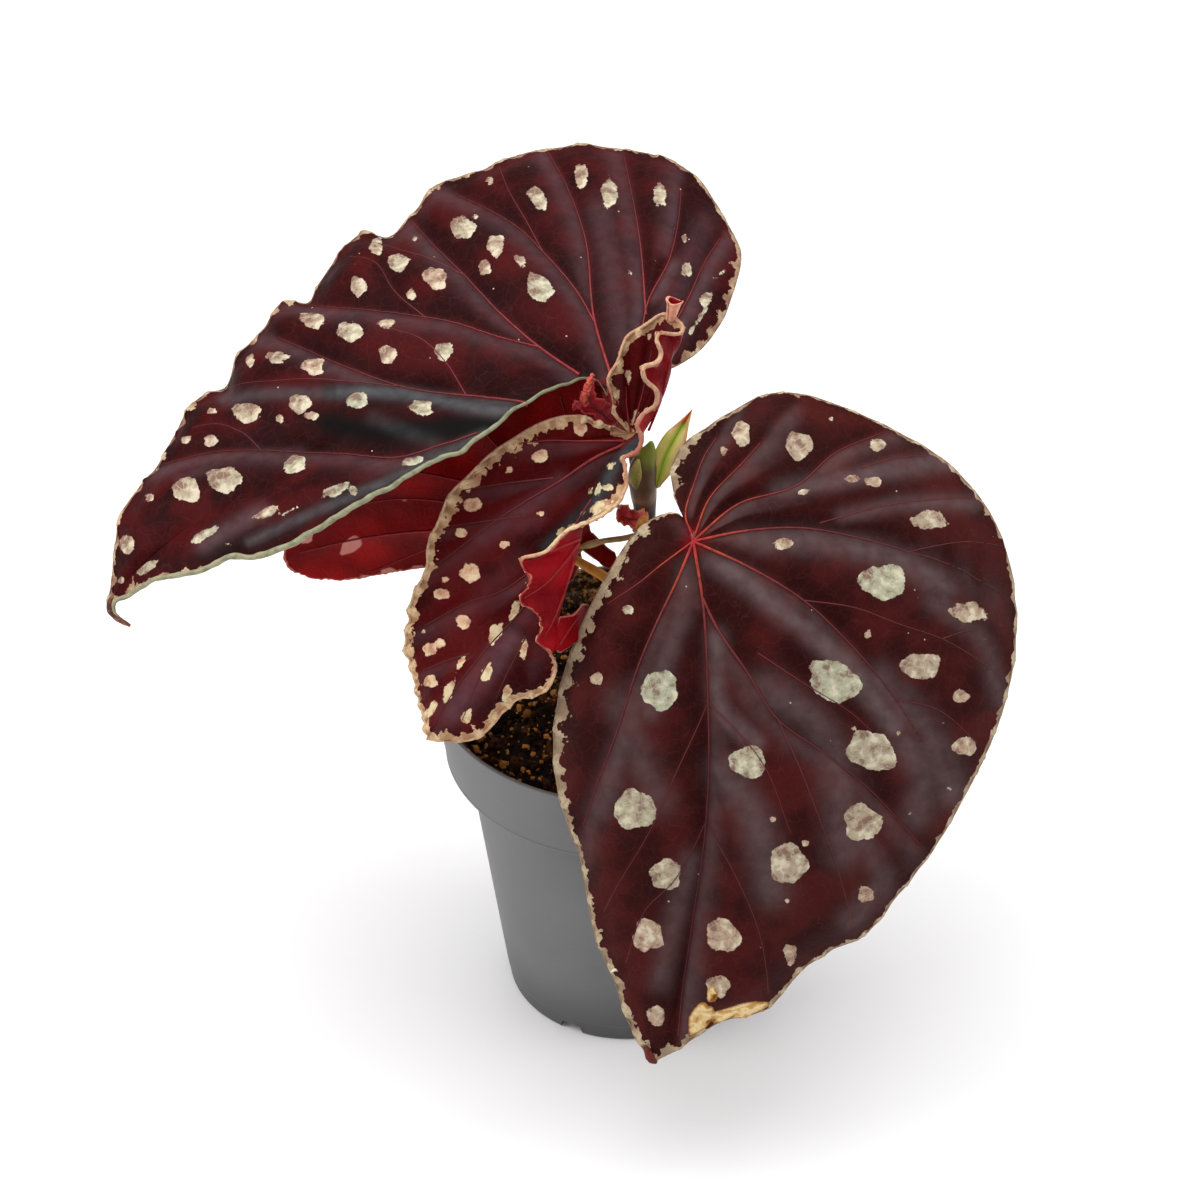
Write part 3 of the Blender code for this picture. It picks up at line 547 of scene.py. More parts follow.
# %% Blade builder
def half_blade(spine, rows, grain, climb, jag, seed):
    """Sheet points of one half, as ribs by steps, and how many of its ribs start at the base."""
    full = []
    for row in rows:
        start = smooth_rows(spine, [row[0]])[0][0]
        end = np.array(row[2:5], float)
        middle = (start + end) / 2 + np.array([0.0, 0.0, row[1]])
        if len(row) == 8:
            middle = np.array(row[5:8], float)
        full.append([row[0], *middle, *end])
    knots = smooth_rows(full, [0.0])[1]
    length = knots[-1]
    fractions = np.array([row[0] for row in full])
    basal_end = knots[np.nonzero(fractions <= 0.0)[0][-1]]
    fan = max(3, int(round(basal_end / UNITS_PER_MM / grain)))
    at = knots >= basal_end - 1e-9
    climbing = np.interp(np.linspace(0, 1, climb + 1), fractions[at], knots[at])
    # Even out the pace of the ribs so that no crease shows where a row was given
    span = 2 * (climb // 24) + 1
    padded = np.pad(climbing, span // 2, mode="reflect", reflect_type="odd")
    climbing = np.convolve(padded, np.ones(span) / span, "valid")
    climbing[0], climbing[-1] = basal_end, length
    places = np.concatenate([np.linspace(0.0, basal_end, fan, endpoint=False), climbing])
    ribs = smooth_rows(full, places / length)[0]
    starts = smooth_rows(spine, [0.0] * fan + list(np.linspace(0, 1, climb + 1)))[0]
    middle, end = ribs[:, 1:4], ribs[:, 4:7].copy()
    reach = end - middle
    reach[:, 2] = 0.0
    reach /= np.maximum(np.linalg.norm(reach, axis=1, keepdims=True), 1e-6)
    teeth = waves(places / UNITS_PER_MM, 2.6, seed) + 0.8 * waves(places / UNITS_PER_MM, 6.0, seed + 1)
    calm = np.clip(np.minimum(places, length - places) / UNITS_PER_MM / 6.0, 0, 1)
    end += reach * (teeth * calm * jag * UNITS_PER_MM)[:, None]
    middle[-1] = end[-1] = starts[-1]
    longest = np.linalg.norm((end - starts)[:, :2], axis=1).max() / UNITS_PER_MM
    across = int(np.clip(round(longest / grain / 1.25), 6, 78))
    bend = 2 * middle - (starts + end) / 2
    t = np.linspace(0, 1, across + 1)[None, :, None]
    points = (1 - t) ** 2 * starts[:, None] + 2 * t * (1 - t) * bend[:, None] + t * t * end[:, None]
    return points, fan, places / UNITS_PER_MM


def vertex_normals(points, faces):
    """Unit normals at the vertices of a grid of quads."""
    diagonal = np.cross(points[faces[:, 2]] - points[faces[:, 0]], points[faces[:, 3]] - points[faces[:, 1]])
    total = np.zeros_like(points)
    for k in range(4):
        np.add.at(total, faces[:, k], diagonal)
    return total / np.maximum(np.linalg.norm(total, axis=1, keepdims=True), 1e-12)


def tree_of(points):
    """Search tree over points."""
    found = kdtree.KDTree(len(points))
    for i, point in enumerate(points):
        found.insert(point, i)
    found.balance()
    return found


def spot_depth(sheet, spots):
    """How far inside a spot each sheet point lies, in mm, the nearest spot's tone, and the place across it."""
    depth = np.full(len(sheet), -50.0)
    tone = np.zeros(len(sheet))
    spot_light_side = np.zeros(len(sheet))
    draw = np.random.default_rng(5)
    for right, down, half_long, half_wide, turn, spot_tone in spots:
        c, s = math.cos(math.radians(turn)), math.sin(math.radians(turn))
        dx, dy = sheet[:, 0] - right, sheet[:, 1] - down
        u, v = (dx * c + dy * s) / half_long, (dy * c - dx * s) / half_wide
        angle = np.arctan2(v, u)
        wobble = 1.0 + 0.07 * np.sin(3 * angle + draw.uniform(0, 6))
        wobble += 0.05 * np.sin(5 * angle + draw.uniform(0, 6))
        inside = (0.93 * wobble - np.hypot(u, v)) * min(half_long, half_wide) / UNITS_PER_MM
        tone = np.where(inside > depth, spot_tone, tone)
        # The place across the spot, from its upper left to its lower right, for its painted shade and painted
        # highlight
        spot_light_side = np.where(inside > depth, (dx + dy) / (half_long + half_wide), spot_light_side)
        depth = np.maximum(depth, inside)
    return depth, tone, spot_light_side


def stroke_strength(sheet, strokes):
    """Soft strokes over the sheet: each is a half width in sheet units, a strength and its points."""
    total = np.zeros(len(sheet))
    for width, strength, path in strokes:
        rows = [(*p, 0.0) for p in path]
        samples = int(smooth_rows(rows, [0.0])[1][-1] / width * 3) + 4
        path = smooth_rows(rows, np.linspace(0, 1, samples))[0][:, :2]
        away = np.min(np.linalg.norm(sheet[:, None, :2] - path[None], axis=2), axis=1)
        total = np.maximum(total, strength * np.exp(-(away / width) ** 2))
    return total


def blade(name, spine, right_hand, left_hand, look):
    """Finished leaf object between a midrib and its two margins, with veins and stored distances."""
    grain = look["grain"]
    flip = look.get("underside_shows", False)
    margin_length = max(
        np.ptp(smooth_rows([r[2:5] for r in rows if r[0] > 0], [0])[1]) for rows in (right_hand, left_hand))
    climb = int(margin_length / UNITS_PER_MM / grain)
    sheet = [smooth_rows(spine, np.linspace(0, 1, climb + 1))[0]]
    faces = []
    rim = []
    hand_rims = []
    margin_run = np.zeros(climb + 1)
    runs = [margin_run]
    count = climb + 1
    for hand, rows in enumerate((right_hand, left_hand)):
        points, fan, run = half_blade(spine, rows, grain, climb, look["jag"], 11 + 7 * hand)
        ribs, steps = points.shape[:2]
        ids = np.empty((ribs, steps), int)
        ids[:, 0] = np.concatenate([np.zeros(fan, int), np.arange(climb + 1)])
        ids[:-1, 1:] = count + np.arange((ribs - 1) * (steps - 1)).reshape(ribs - 1, steps - 1)
        ids[-1, :] = climb
        sheet.append(points[:-1, 1:].reshape(-1, 3))
        runs.append(np.repeat(run[:-1] + 1000.0 * hand, steps - 1))
        count += (ribs - 1) * (steps - 1)
        quads = np.stack([ids[:-1, :-1], ids[:-1, 1:], ids[1:, 1:], ids[1:, :-1]], axis=-1).reshape(-1, 4)
        if (hand == 1) != flip:
            quads = quads[:, ::-1]
        faces.append(quads)
        rim += list(ids[:, -1]) + list(ids[0, 1:])
        hand_rims.append(ids[:, [-1, -4]])
    sheet = np.concatenate(sheet)
    runs = np.concatenate(runs)
    faces = np.concatenate(faces)
    points = on_sheet(sheet)
    rim_ground = tree_of(points[rim])
    rim_found = [rim_ground.find(p) for p in points]
    rim_mm = np.array([found[2] for found in rim_found])
    rim_at = np.array([rim[found[1]] for found in rim_found])

    # Neighbours' means take out the fold where the halves meet
    pairs = np.concatenate([faces[:, [k, (k + 1) % 4]] for k in range(4)])
    pairs = pairs[pairs[:, 0] != pairs[:, 1]]
    pairs = np.concatenate([pairs, pairs[:, ::-1]])
    links = np.bincount(pairs[:, 0], minlength=len(points))

    def evened(values, free, rounds):
        for _ in range(rounds):
            mean = np.bincount(pairs[:, 0], values[pairs[:, 1]], len(values)) / links
            values = values + 0.5 * free * (mean - values)
        return values

    from_base = np.linalg.norm(points - points[0], axis=1)
    loose = np.clip(rim_mm / 4.0, 0, 1) * np.clip((from_base - 2.0) / 6.0, 0, 1)
    points = np.column_stack([evened(axis, loose, look.get("even", 4)) for axis in points.T])
    sheet = to_sheet(points)
    normals = vertex_normals(points, faces)
    to_eye = EYE - points
    to_eye /= np.linalg.norm(to_eye, axis=1, keepdims=True)
    facing = np.sum(normals * to_eye, axis=1) * (-1.0 if flip else 1.0)

    # Veins drawn on the sheet are dropped onto the surface that faces the eye, or its folded back
    vein_paths = []
    vein_flat = []
    vein_seats = []
    on_back = []
    listed = [(vein, 1.0) for vein in look["veins"]] + [(vein, -1.0) for vein in look.get("back_veins", [])]
    seen = {shown: np.nonzero(facing * shown > 0.02)[0] for shown in {shown for _, shown in listed}}
    ground = {shown: tree_of([(sheet[i, 0], sheet[i, 1], 0.0) for i in ids]) for shown, ids in seen.items()}
    for (base_width, tip_width, path), shown in listed:
        flat = smooth_rows([(*p, 0.0) for p in path], [0.0])[1][-1]
        run = smooth_rows([(*p, 0.0) for p in path], np.linspace(0, 1, max(6, int(flat / 3.0))))[0]
        rows = []
        seats = []
        for k, (right, down, _) in enumerate(run):
            near = ground[shown].find_n((right, down, 0.0), 4)
            weights = np.array([1.0 / (found[2] + 0.3) for found in near])
            picks = seen[shown][[found[1] for found in near]]
            height = np.sum(weights * sheet[picks, 2]) / weights.sum()
            facing_way = np.sum(weights[:, None] * normals[picks], axis=0)
            facing_way /= np.linalg.norm(facing_way)
            share = k / (len(run) - 1)
            width = base_width + (tip_width - base_width) * share ** 0.7
            rows.append((width, *on_sheet([right, down, height]), *facing_way))
            seats.append((picks, weights / weights.sum()))
        vein_seats.append(seats)
        vein_paths.append(np.array(rows))
        vein_flat.append(run[:, :2])
        on_back.append(shown < 0)
    bold = [rows for rows in vein_paths if rows[0, 0] >= look.get("bold", 0.38)]
    bold_flat = [run for rows, run in zip(vein_paths, vein_flat) if rows[0, 0] >= look.get("bold", 0.38)]
    vein_ground = tree_of(np.concatenate([rows[:, 1:4] for rows in vein_paths]))
    bold_ground = tree_of(np.concatenate([rows[:, 1:4] for rows in bold]))
    vein = np.array([vein_ground.find(p)[2] for p in points])
    bold_found = [bold_ground.find(p) for p in points]
    bold_mm = np.array([found[2] for found in bold_found])

    # Side of the nearest bold vein: plus where its tissue rises to the light
    bold_at = np.array([found[1] for found in bold_found])
    square = np.concatenate([np.gradient(run, axis=0)[:, ::-1] * (1, -1) for run in bold_flat])
    square *= np.sign(square @ np.array(look.get("lit_side", (-0.35, 1.0))))[:, None]
    square /= np.linalg.norm(square, axis=1, keepdims=True)
    side = np.sum((sheet[:, :2] - np.concatenate(bold_flat)[bold_at]) * square[bold_at], axis=1) / UNITS_PER_MM
    side_strength, side_width = look.get("vein_shine", (0.0, 4.0))

    # Width of the dry margin, from the nearest given places
    bands = np.array(look["band"], float)
    away = np.linalg.norm(sheet[rim_at][:, None, :2] - bands[None, :, :2], axis=2) + 4.0
    weights = away ** -3.0
    band_mm = np.sum(weights * bands[:, 2], axis=1) / weights.sum(axis=1)
    band_mm *= np.clip(1 + look.get("patchy", 0.3) * waves(runs[rim_at], 8.0, 51), 0.15, 2.0)
    edge = rim_mm / band_mm
    calm_rim = np.clip(rim_mm / 3.0, 0, 1)
    # Painted sheen on the side of a bold vein that faces the light
    vein_side_sheen = np.clip(side / 1.2, 0, 1) * np.exp(-(np.clip(side - 1.0, 0, None) / side_width) ** 2)
    # Painted shade on the side of a bold vein away from the light
    painted_shade = np.clip(-side / 1.0, 0, 1) * np.exp(-(np.clip(-side - 1.5, 0, None) / 3.5) ** 2) * calm_rim
    away_from_bold = 1 - np.exp(-(bold_mm / 1.6) ** 2)
    vein_side_sheen, painted_shade = [evened(values, away_from_bold, 10) for values in (vein_side_sheen, painted_shade)]
    heart = 0.6 * np.exp(-(from_base / look.get("heart", 6.0)) ** 2)

    # Relief: tissue pushed up between impressed veins, crimped margin, gentle unevenness
    inner = np.clip(rim_mm / 13.0, 0, 1)
    calm = 0.05 + 0.95 * inner * inner * (3 - 2 * inner)
    crease = np.hypot(bold_mm, 0.7) - 0.7
    lift = look["pleat"] * (1 - np.exp(-crease / 5.0)) + 0.25 * look["pleat"] * (1 - np.exp(-vein / 2.5))
    away = 1 - np.exp(-(vein / 4.0) ** 2)
    lift = lift * calm + look["uneven"] * waves(points, 13.0, 3) * (0.4 + 0.6 * inner) * away
    height, length, reach = look["ruffle"]
    crimp = waves(runs[rim_at], length, 21) + 0.45 * waves(runs[rim_at], length * 0.45, 22)
    # The crimp near the rim is stored too; the material paints its crests lighter and its troughs darker
    fold = crimp * np.exp(-(rim_mm / reach) ** 2)
    lift = lift + height * fold * np.clip(vein / 3.0, 0.25, 1)
    lift *= 0.3 + 0.7 * np.clip(from_base / 8.0, 0, 1)
    lift = evened(lift, (1 - np.exp(-(vein / 1.2) ** 2)) * np.clip(rim_mm / 2.0, 0, 1), 8)

    # Paint is laid where the eye sees the lifted surface
    seen_at = to_sheet(points + normals * lift[:, None])
    spot, tone, spot_light_side = spot_depth(seen_at, look["spots"])
    spot[facing < 0.02] = -50.0
    spot_light_side = np.clip(spot_light_side, -1.5, 1.5) * look.get("spot_light_side", 0.3)
    # Dark strokes add painted shade and take away the painted sheen
    painted_dark_strokes = stroke_strength(seen_at, look.get("dark", []))
    painted_shade = np.maximum(painted_shade * look.get("shade", 0.8), painted_dark_strokes)
    # Painted grey sheen from strokes and from the lit side of the veins
    sheen = np.maximum(stroke_strength(seen_at, look["sheen"]), side_strength * vein_side_sheen * calm_rim) * (1 - painted_dark_strokes)
    # Dark bands of painted shade
    shade_band = stroke_strength(seen_at, look.get("shade_band", []))
    dry = spot_depth(seen_at, look["dry"])[0] if look.get("dry") else np.full(len(sheet), -50.0)
    thick = look["thickness"] * (0.55 + 0.45 * np.clip(rim_mm / 4.0, 0, 1))
    top = points + normals * (lift + thick / 2)[:, None]
    under = points + normals * (lift - thick / 2)[:, None]

    # Shell: top, underside and the rim between them
    total = len(points)
    turned = faces[:, ::-1] + total
    edges = np.concatenate([faces[:, [k, (k + 1) % 4]] for k in range(4)])
    edges = edges[edges[:, 0] != edges[:, 1]]
    keys = edges[:, 0] * total + edges[:, 1]
    back = edges[:, 1] * total + edges[:, 0]
    open_edges = edges[~np.isin(keys, back)]
    ends_at, starts_at = open_edges.T[::-1]
    walls = np.stack([ends_at, starts_at, starts_at + total, ends_at + total], axis=-1)
    shell = [tuple(dict.fromkeys(face)) for face in np.concatenate([faces, turned, walls]).tolist()]
    kind = np.concatenate([np.zeros(len(faces), int), np.ones(len(turned), int), np.zeros(len(walls), int)])
    kept = [len(face) > 2 for face in shell]
    mesh = bpy.data.meshes.new(name)
    whole_faces = [face for face, k in zip(shell, kept) if k]
    mesh.from_pydata((np.concatenate([top, under]) * MM).tolist(), [], whole_faces)
    for label, values in (
            ("vein", vein), ("spot", spot), ("tone", tone), ("spot_light_side", spot_light_side), ("edge", edge), ("sheen", sheen),
            ("shade_band", shade_band), ("painted_shade", painted_shade), ("dry", dry), ("heart", heart), ("fold", fold)):
        store(mesh, label, np.tile(values, 2))
    mesh.materials.append(look["top"])
    mesh.materials.append(look["under"])
    mesh.polygons.foreach_set("material_index", kind[np.array(kept)])
    mesh.polygons.foreach_set("use_smooth", np.ones(sum(kept), bool))
    mesh.update()
    leaf = stood(name, mesh)

    # Veins: fine and half sunk on top, bolder below
    upper = []
    lower = []
    far = 0.6 * from_base.max()
    for rows, seats, hidden in zip(vein_paths, vein_seats, on_back):
        rows[:, 1:4] += rows[:, 4:7] * np.array([[lift[picks] @ share] for picks, share in seats])
        outward = np.linalg.norm(rows[:, 1:4] - points[0], axis=1)
        above = np.column_stack([rows[:, :4], np.clip(outward / far, 0, 1)])
        above[:, 1:4] += rows[:, 4:7] * (look["thickness"] / 2 + rows[:, :1] * 0.15)
        upper += [] if hidden else [above]
        below = rows[:, :4].copy()
        below[:, 0] *= 1.5
        below[:, 1:4] -= rows[:, 4:7] * (look["thickness"] / 2 + below[:, :1] * 0.2)
        lower.append(below)
    extra = [stalks(name + "_veins", upper, look["vein_skin"], sides=7),
             stalks(name + "_ribs", lower, vein_under, sides=7)]

    # Thickened rims that follow the finished margin of one hand
    for hand, widths, skin in look.get("rims", []):
        at_edge, further_in = hand_rims[hand].T
        width = np.interp(np.linspace(0, 1, len(at_edge)), *np.transpose(widths))
        inward = points[further_in] - points[at_edge]
        inward /= np.maximum(np.linalg.norm(inward, axis=1, keepdims=True), 1e-6)
        line = (top[at_edge] + under[at_edge]) / 2 + inward * (0.5 * width)[:, None]
        padded = np.pad(line, ((3, 3), (0, 0)), mode="edge")
        line = np.column_stack([np.convolve(axis, np.ones(7) / 7, "valid") for axis in padded.T])
        ends = np.clip(np.minimum(np.arange(len(line)), np.arange(len(line))[::-1]) / 12.0, 0.3, 1)
        swell = 1.0 + 0.15 * waves(line, 5.0, 41 + hand)
        rim_rows = np.column_stack([width * ends * swell, line])
        extra.append(stalks(name + "_rim" + str(hand), [rim_rows], skin, sides=8))
    join(leaf, *extra)
    return leaf


print("blade builder ready")

# %% [markdown]
# ## Front right leaf
# The largest leaf hangs in front of the pot. Its spots are the biggest, its left margin has
# the widest dry band, and the tip has a patch of dead, golden, papery tissue with brown folds.

# %% Front right leaf
front_spine = [
    (693, 541, 62), (702, 597, 61), (708, 702, 55), (707, 821, 45), (693, 924, 34), (676, 1000, 26),
    (654, 1062, 20),
]
front_outer = [
    (0, 1, 691, 530, 61), (0, 1, 678, 514, 60), (0, 2, 658, 516, 60), (0, 2, 633, 536, 58),
    (0, 3, 610, 571, 56), (0.04, 4, 592, 604, 53), (0.12, 5, 576, 640, 50), (0.2, 6, 562, 682, 46),
    (0.29, 6, 555, 722, 43), (0.39, 6, 556, 780, 38), (0.49, 5, 567, 821, 35), (0.58, 5, 579, 852, 32),
    (0.67, 4, 588, 898, 29), (0.76, 3, 598, 944, 26), (0.84, 2, 613, 976, 24), (0.91, 1, 628, 1021, 21),
    (0.97, 0, 645, 1052, 20), (1, 0, 654, 1062, 20),
]
front_inner = [
    (0, 1, 694, 529, 61), (0, 1, 676, 498, 58), (0, 1, 672, 468, 56), (0, 2, 682, 446, 54),
    (0, 3, 704, 430, 52), (0, 4, 734, 411, 50), (0, 5, 765, 395, 48), (0, 6, 798, 394, 47),
    (0, 7, 844, 408, 45), (0, 8, 895, 431, 43), (0, 9, 954, 469, 40), (0, 9, 995, 523, 38),
    (0.01, 9, 1015, 592, 38), (0.05, 9, 1012, 671, 37), (0.12, 9, 995, 732, 36), (0.19, 9, 968, 789, 35),
    (0.28, 8, 930, 854, 33), (0.37, 8, 895, 898, 31), (0.45, 7, 863, 936, 29), (0.53, 6, 833, 949, 28),
    (0.63, 5, 804, 968, 26), (0.75, 4, 766, 1009, 23), (0.85, 3, 719, 1022, 22), (0.94, 1, 681, 1047, 21),
    (1, 0, 654, 1062, 20),
]
front_veins = [
    (0.37, 0.12, [(693, 541), (686, 518), (695, 482), (706, 454), (716, 439)]),
    (0.34, 0.12, [(693, 541), (709, 500), (742, 464), (760, 444)]),
    (0.41, 0.12, [(693, 541), (737, 505), (798, 485), (834, 454), (880, 434)]),
    (0.41, 0.12, [(693, 541), (742, 531), (803, 528), (854, 537), (908, 552), (946, 564), (997, 592)]),
    (0.2, 0.1, [(819, 523), (870, 509), (972, 498)]),
    (0.45, 0.12, [(693, 541), (747, 566), (803, 600), (844, 638), (895, 699), (921, 740)]),
    (0.2, 0.1, [(803, 600), (852, 607), (895, 623), (938, 638), (997, 674)]),
    (0.45, 0.12, [(702, 597), (716, 625), (747, 671), (778, 719), (822, 751), (866, 786), (918, 842)]),
    (0.25, 0.1, [(778, 719), (795, 757), (816, 812), (833, 859), (851, 924)]),
    (0.51, 0.16, [
        (693, 541), (702, 597), (708, 702), (709, 739), (706, 821), (692, 924), (684, 983), (678, 1035)]),
    (0.25, 0.1, [(708, 821), (739, 877), (757, 924), (767, 991)]),
    (0.45, 0.12, [(693, 541), (676, 582), (658, 620), (640, 662), (619, 727), (596, 789), (584, 824)]),
    (0.29, 0.1, [(693, 541), (660, 566), (643, 581), (610, 604)]),
    (0.2, 0.1, [(708, 702), (680, 760), (650, 830), (622, 880), (606, 910)]),
    (0.2, 0.1, [(706, 821), (672, 880), (648, 905), (628, 960)]),
    (0.2, 0.1, [(908, 552), (930, 547), (959, 543), (1002, 546)]),
    (0.2, 0.1, [(938, 638), (955, 632), (974, 628)]),
    (0.18, 0.1, [(758, 652), (806, 684), (850, 712), (868, 728)]),
    (0.16, 0.1, [(858, 471), (892, 461), (924, 457)]),
    (0.2, 0.1, [(706, 700), (735, 726), (762, 760), (790, 830)]),
    (0.18, 0.1, [(895, 699), (930, 706), (975, 742)]),
]
front_spots = [
    (741, 434, 10, 13, 0, .2), (724, 451, 4, 5, 0, .2), (799, 446, 14, 15, -40, .3), (877, 445, 9, 7, 0, .3),
    (852, 479, 7, 3, 0, .1), (874, 482, 9, 4.5, 0, .1), (803, 492, 6, 3, -20, .2), (929, 520, 19, 10, 0, .3),
    (782, 544, 11, 7, 0, .0), (883, 582, 26, 18.5, 0, .9), (968, 612, 22, 11, 8, .2), (867, 634, 4, 4, 0, 0),
    (920, 666, 21, 14, 0, .3), (961, 696, 9, 7, 0, 0), (965, 746, 12, 10, 0, 0), (660, 690, 20, 21, 0, 1),
    (834, 681, 29, 21, 25, .9), (871, 751, 27, 20, 25, .5), (748, 762, 20, 17, 0, .7),
    (635, 810, 22, 21, 0, .6), (862, 822, 21, 19, 20, .4), (788, 863, 20, 21, 0, .4),
    (666, 874, 17, 16.6, 0, .4), (806, 843, 3.5, 3.5, 0, 0), (865, 894, 8.5, 9, 0, 0),
    (648, 935, 16, 17, 0, .1), (723, 935, 19, 17, 40, .1), (790, 954, 7.6, 10.7, 0, 0),
    (718, 986, 12, 12, 0, .2), (656, 1015, 9.4, 10.7, 0, .1), (597, 678, 7, 6.5, 0, .1),
    (629, 609, 6, 5, 0, .5), (970, 555, 2, 2, 0, 0), (919, 577, 2, 2, 0, 0), (984, 640, 2, 2, 0, 0),
    (898, 733, 2, 2, 0, 0), (854, 728, 2, 2, 0, 0), (944, 723, 2, 2, 0, 0), (831, 419, 2, 2, 0, 0),
    (787, 900, 2.5, 2.5, 0, 0), (773, 819, 2, 2, 0, 0), (909, 813, 2, 2, 0, 0), (933, 829, 2, 2, 0, 0),
    (949, 788, 2, 2, 0, 0),
]
front_leaf = blade("front_right_blade", front_spine, front_outer, front_inner, {
    "grain": 0.97, "jag": 0.15, "ruffle": (0.45, 9.0, 5.0), "pleat": 2.2, "uneven": 0.3, "thickness": 0.6,
    "veins": front_veins, "spots": front_spots, "vein_skin": vein_orange, "bold": 0.33, "heart": 3.2,
    # The next two lines also set the vein side that gets painted sheen, the lean of painted light across the
    # spots, and the painted sheen and painted shade beside the veins
    "even": 14, "patchy": 0.6, "lit_side": (0.1, 1.0), "spot_light_side": 0.4,
    "vein_shine": (0.45, 4.5), "shade": 0.85, "rims": [(0, [(0, 0.3)], thin_rim), (1, [(0, 0.28)], thin_rim)],
    # Dark strokes of painted shade, such as over the left lobe
    "dark": [
        (24, .9, [(660, 528), (648, 560), (648, 590)]), (9, .7, [(712, 548), (745, 556)]),
        (10, .6, [(760, 505), (820, 500), (880, 492)]), (12, .6, [(790, 640), (820, 690), (850, 720)]),
        (9, .6, [(690, 640), (696, 740), (690, 800)]),
    ],
    "band": [
        (672, 478, 2.6), (676, 450, 3.0), (690, 438, 2.2), (680, 505, 1.0), (696, 526, 0.3), (710, 425, 1.0),
        (765, 395, 0.7), (844, 408, 0.6), (954, 469, 1.2), (1015, 600, 1.0), (995, 720, 1.4), (900, 890, 1.0),
        (833, 949, 1.2), (720, 1022, 1.5), (654, 1062, 2.4), (628, 1021, 2.4), (598, 944, 2.0),
        (588, 898, 1.6), (567, 821, 2.0), (556, 780, 3.6), (555, 722, 3.8), (576, 640, 4.0), (610, 571, 3.8),
        (640, 530, 2.8), (662, 515, 1.0), (678, 514, 0.4), (690, 524, 0.3),
    ],
    # Strokes of painted grey sheen
    "sheen": [
        (12, .55, [(686, 570), (678, 625), (663, 666), (650, 710)]),
        (11, .8, [(716, 638), (724, 714), (755, 740)]),
        (12, .85, [(714, 559), (747, 582), (793, 620), (844, 663), (895, 727)]),
        (13, .7, [(742, 541), (819, 543), (895, 559), (946, 587)]),
        (16, .6, [(905, 745), (925, 780), (915, 815)]),
        (11, .7, [(780, 492), (844, 480), (895, 469), (959, 459)]),
        (9, .6, [(844, 515), (895, 505), (972, 503)]),
        (20, .6, [(765, 690), (818, 722), (840, 790), (845, 850)]),
        (14, .5, [(640, 690), (618, 760), (600, 810)]), (18, .65, [(722, 770), (752, 815), (772, 890)]),
        (12, .5, [(690, 860), (672, 930), (660, 980)]), (18, .6, [(880, 680), (930, 740), (950, 790)]),
        (14, .5, [(860, 840), (880, 880), (850, 920)]), (16, .5, [(620, 700), (640, 760), (660, 800)]),
        (10, .5, [(930, 600), (980, 640), (1000, 700)]),
    ],
    "dry": [(700, 1018, 19, 11, -58, 0), (738, 1012, 34, 9, -14, 0), (712, 994, 6, 9, 0, 0)],
    "top": top_finishes["front_right_leaf"], "under": crimson_under,
})
hook_skin = ridge_skin("red-brown curled tip", [(0.0, "#6a2018"), (1.0, "#50160f")], "#38100c", 1.2)
curl_skin = ridge_skin("white curled scrap of margin", [(0.0, "#e8ddc8"), (1.0, "#cdb99c")], "#a8937a", 1.2)
hook = [(0.7, 645, 1046, 20.8), (1.3, 648.5, 1053, 20.6), (1.2, 652, 1060, 20.4), (0.5, 657, 1062.5, 20.6)]
curl = [(0.3, 611, 972, 25.6), (0.5, 616, 969.5, 26.4), (0.35, 622, 973.5, 25.8)]
join(front_leaf, stalks("tip_hook", [on_path(hook, 20)], hook_skin, sides=12, bump=0.6, bump_size=1.5),
     stalks("margin_curl", [on_path(curl, 16)], curl_skin, sides=10))
stand_for(front_leaf, "front_right_leaf")

# %% [markdown]
# ## Upper left leaf
# This leaf lies almost flat. Its upper half fans out wide with scalloped edges, its lower half is narrow,
# catches a cool grey light, painted here as a cool grey sheen over dark painted shade, and ends in a thick pale
# edge. The tip dries to a curled tail.

# %% Upper left leaf
upper_left_spine = [
    (607, 388, 42), (545, 378, 42), (470, 395, 44), (395, 424, 46), (310, 465, 46),
    (215, 520, 42), (150, 566, 37), (120, 590, 33), (109, 606, 31), (117, 618, 31), (129, 625, 32),
]
upper_left_far = [
    (0, 0, 634, 384, 44), (0, 1, 670, 369, 40), (0, 3, 700, 350, 34), (0, 5, 722, 320, 26),
    (0, 6, 735, 285, 18), (0, 7, 741, 258, 10), (0, 8, 722, 215, 0), (0, 8, 703, 185, -6),
    (0, 8, 680, 165, -11), (0.01, 8, 655, 155, -15), (0.03, 8, 620, 150, -18), (0.07, 8, 585, 145, -20),
    (0.11, 8, 545, 150, -20), (0.15, 8, 510, 158, -19), (0.2, 8, 480, 171, -17), (0.27, 8, 432, 189, -14),
    (0.31, 8, 413, 214, -10), (0.36, 8, 384, 239, -6), (0.38, 8, 362, 232, -6), (0.4, 8, 348, 244, -4),
    (0.43, 8, 333, 264, -1), (0.46, 7, 323, 277, 0), (0.5, 7, 310, 302, 4), (0.55, 6, 283, 303, 4),
    (0.57, 6, 271, 316, 6), (0.59, 6, 263, 332, 8), (0.63, 5, 239, 353, 11), (0.67, 5, 223, 391, 16),
    (0.69, 5, 208, 393, 16), (0.72, 4, 190, 406, 18), (0.74, 4, 180, 426, 20), (0.77, 4, 160, 462, 23),
    (0.81, 3, 140, 488, 26), (0.85, 2, 124, 508, 28), (0.88, 1, 116, 538, 30), (0.92, 0, 113, 572, 31),
    (0.95, 0, 110, 596, 31), (0.98, 0, 112, 614, 30), (1, 0, 129, 625, 32),
]
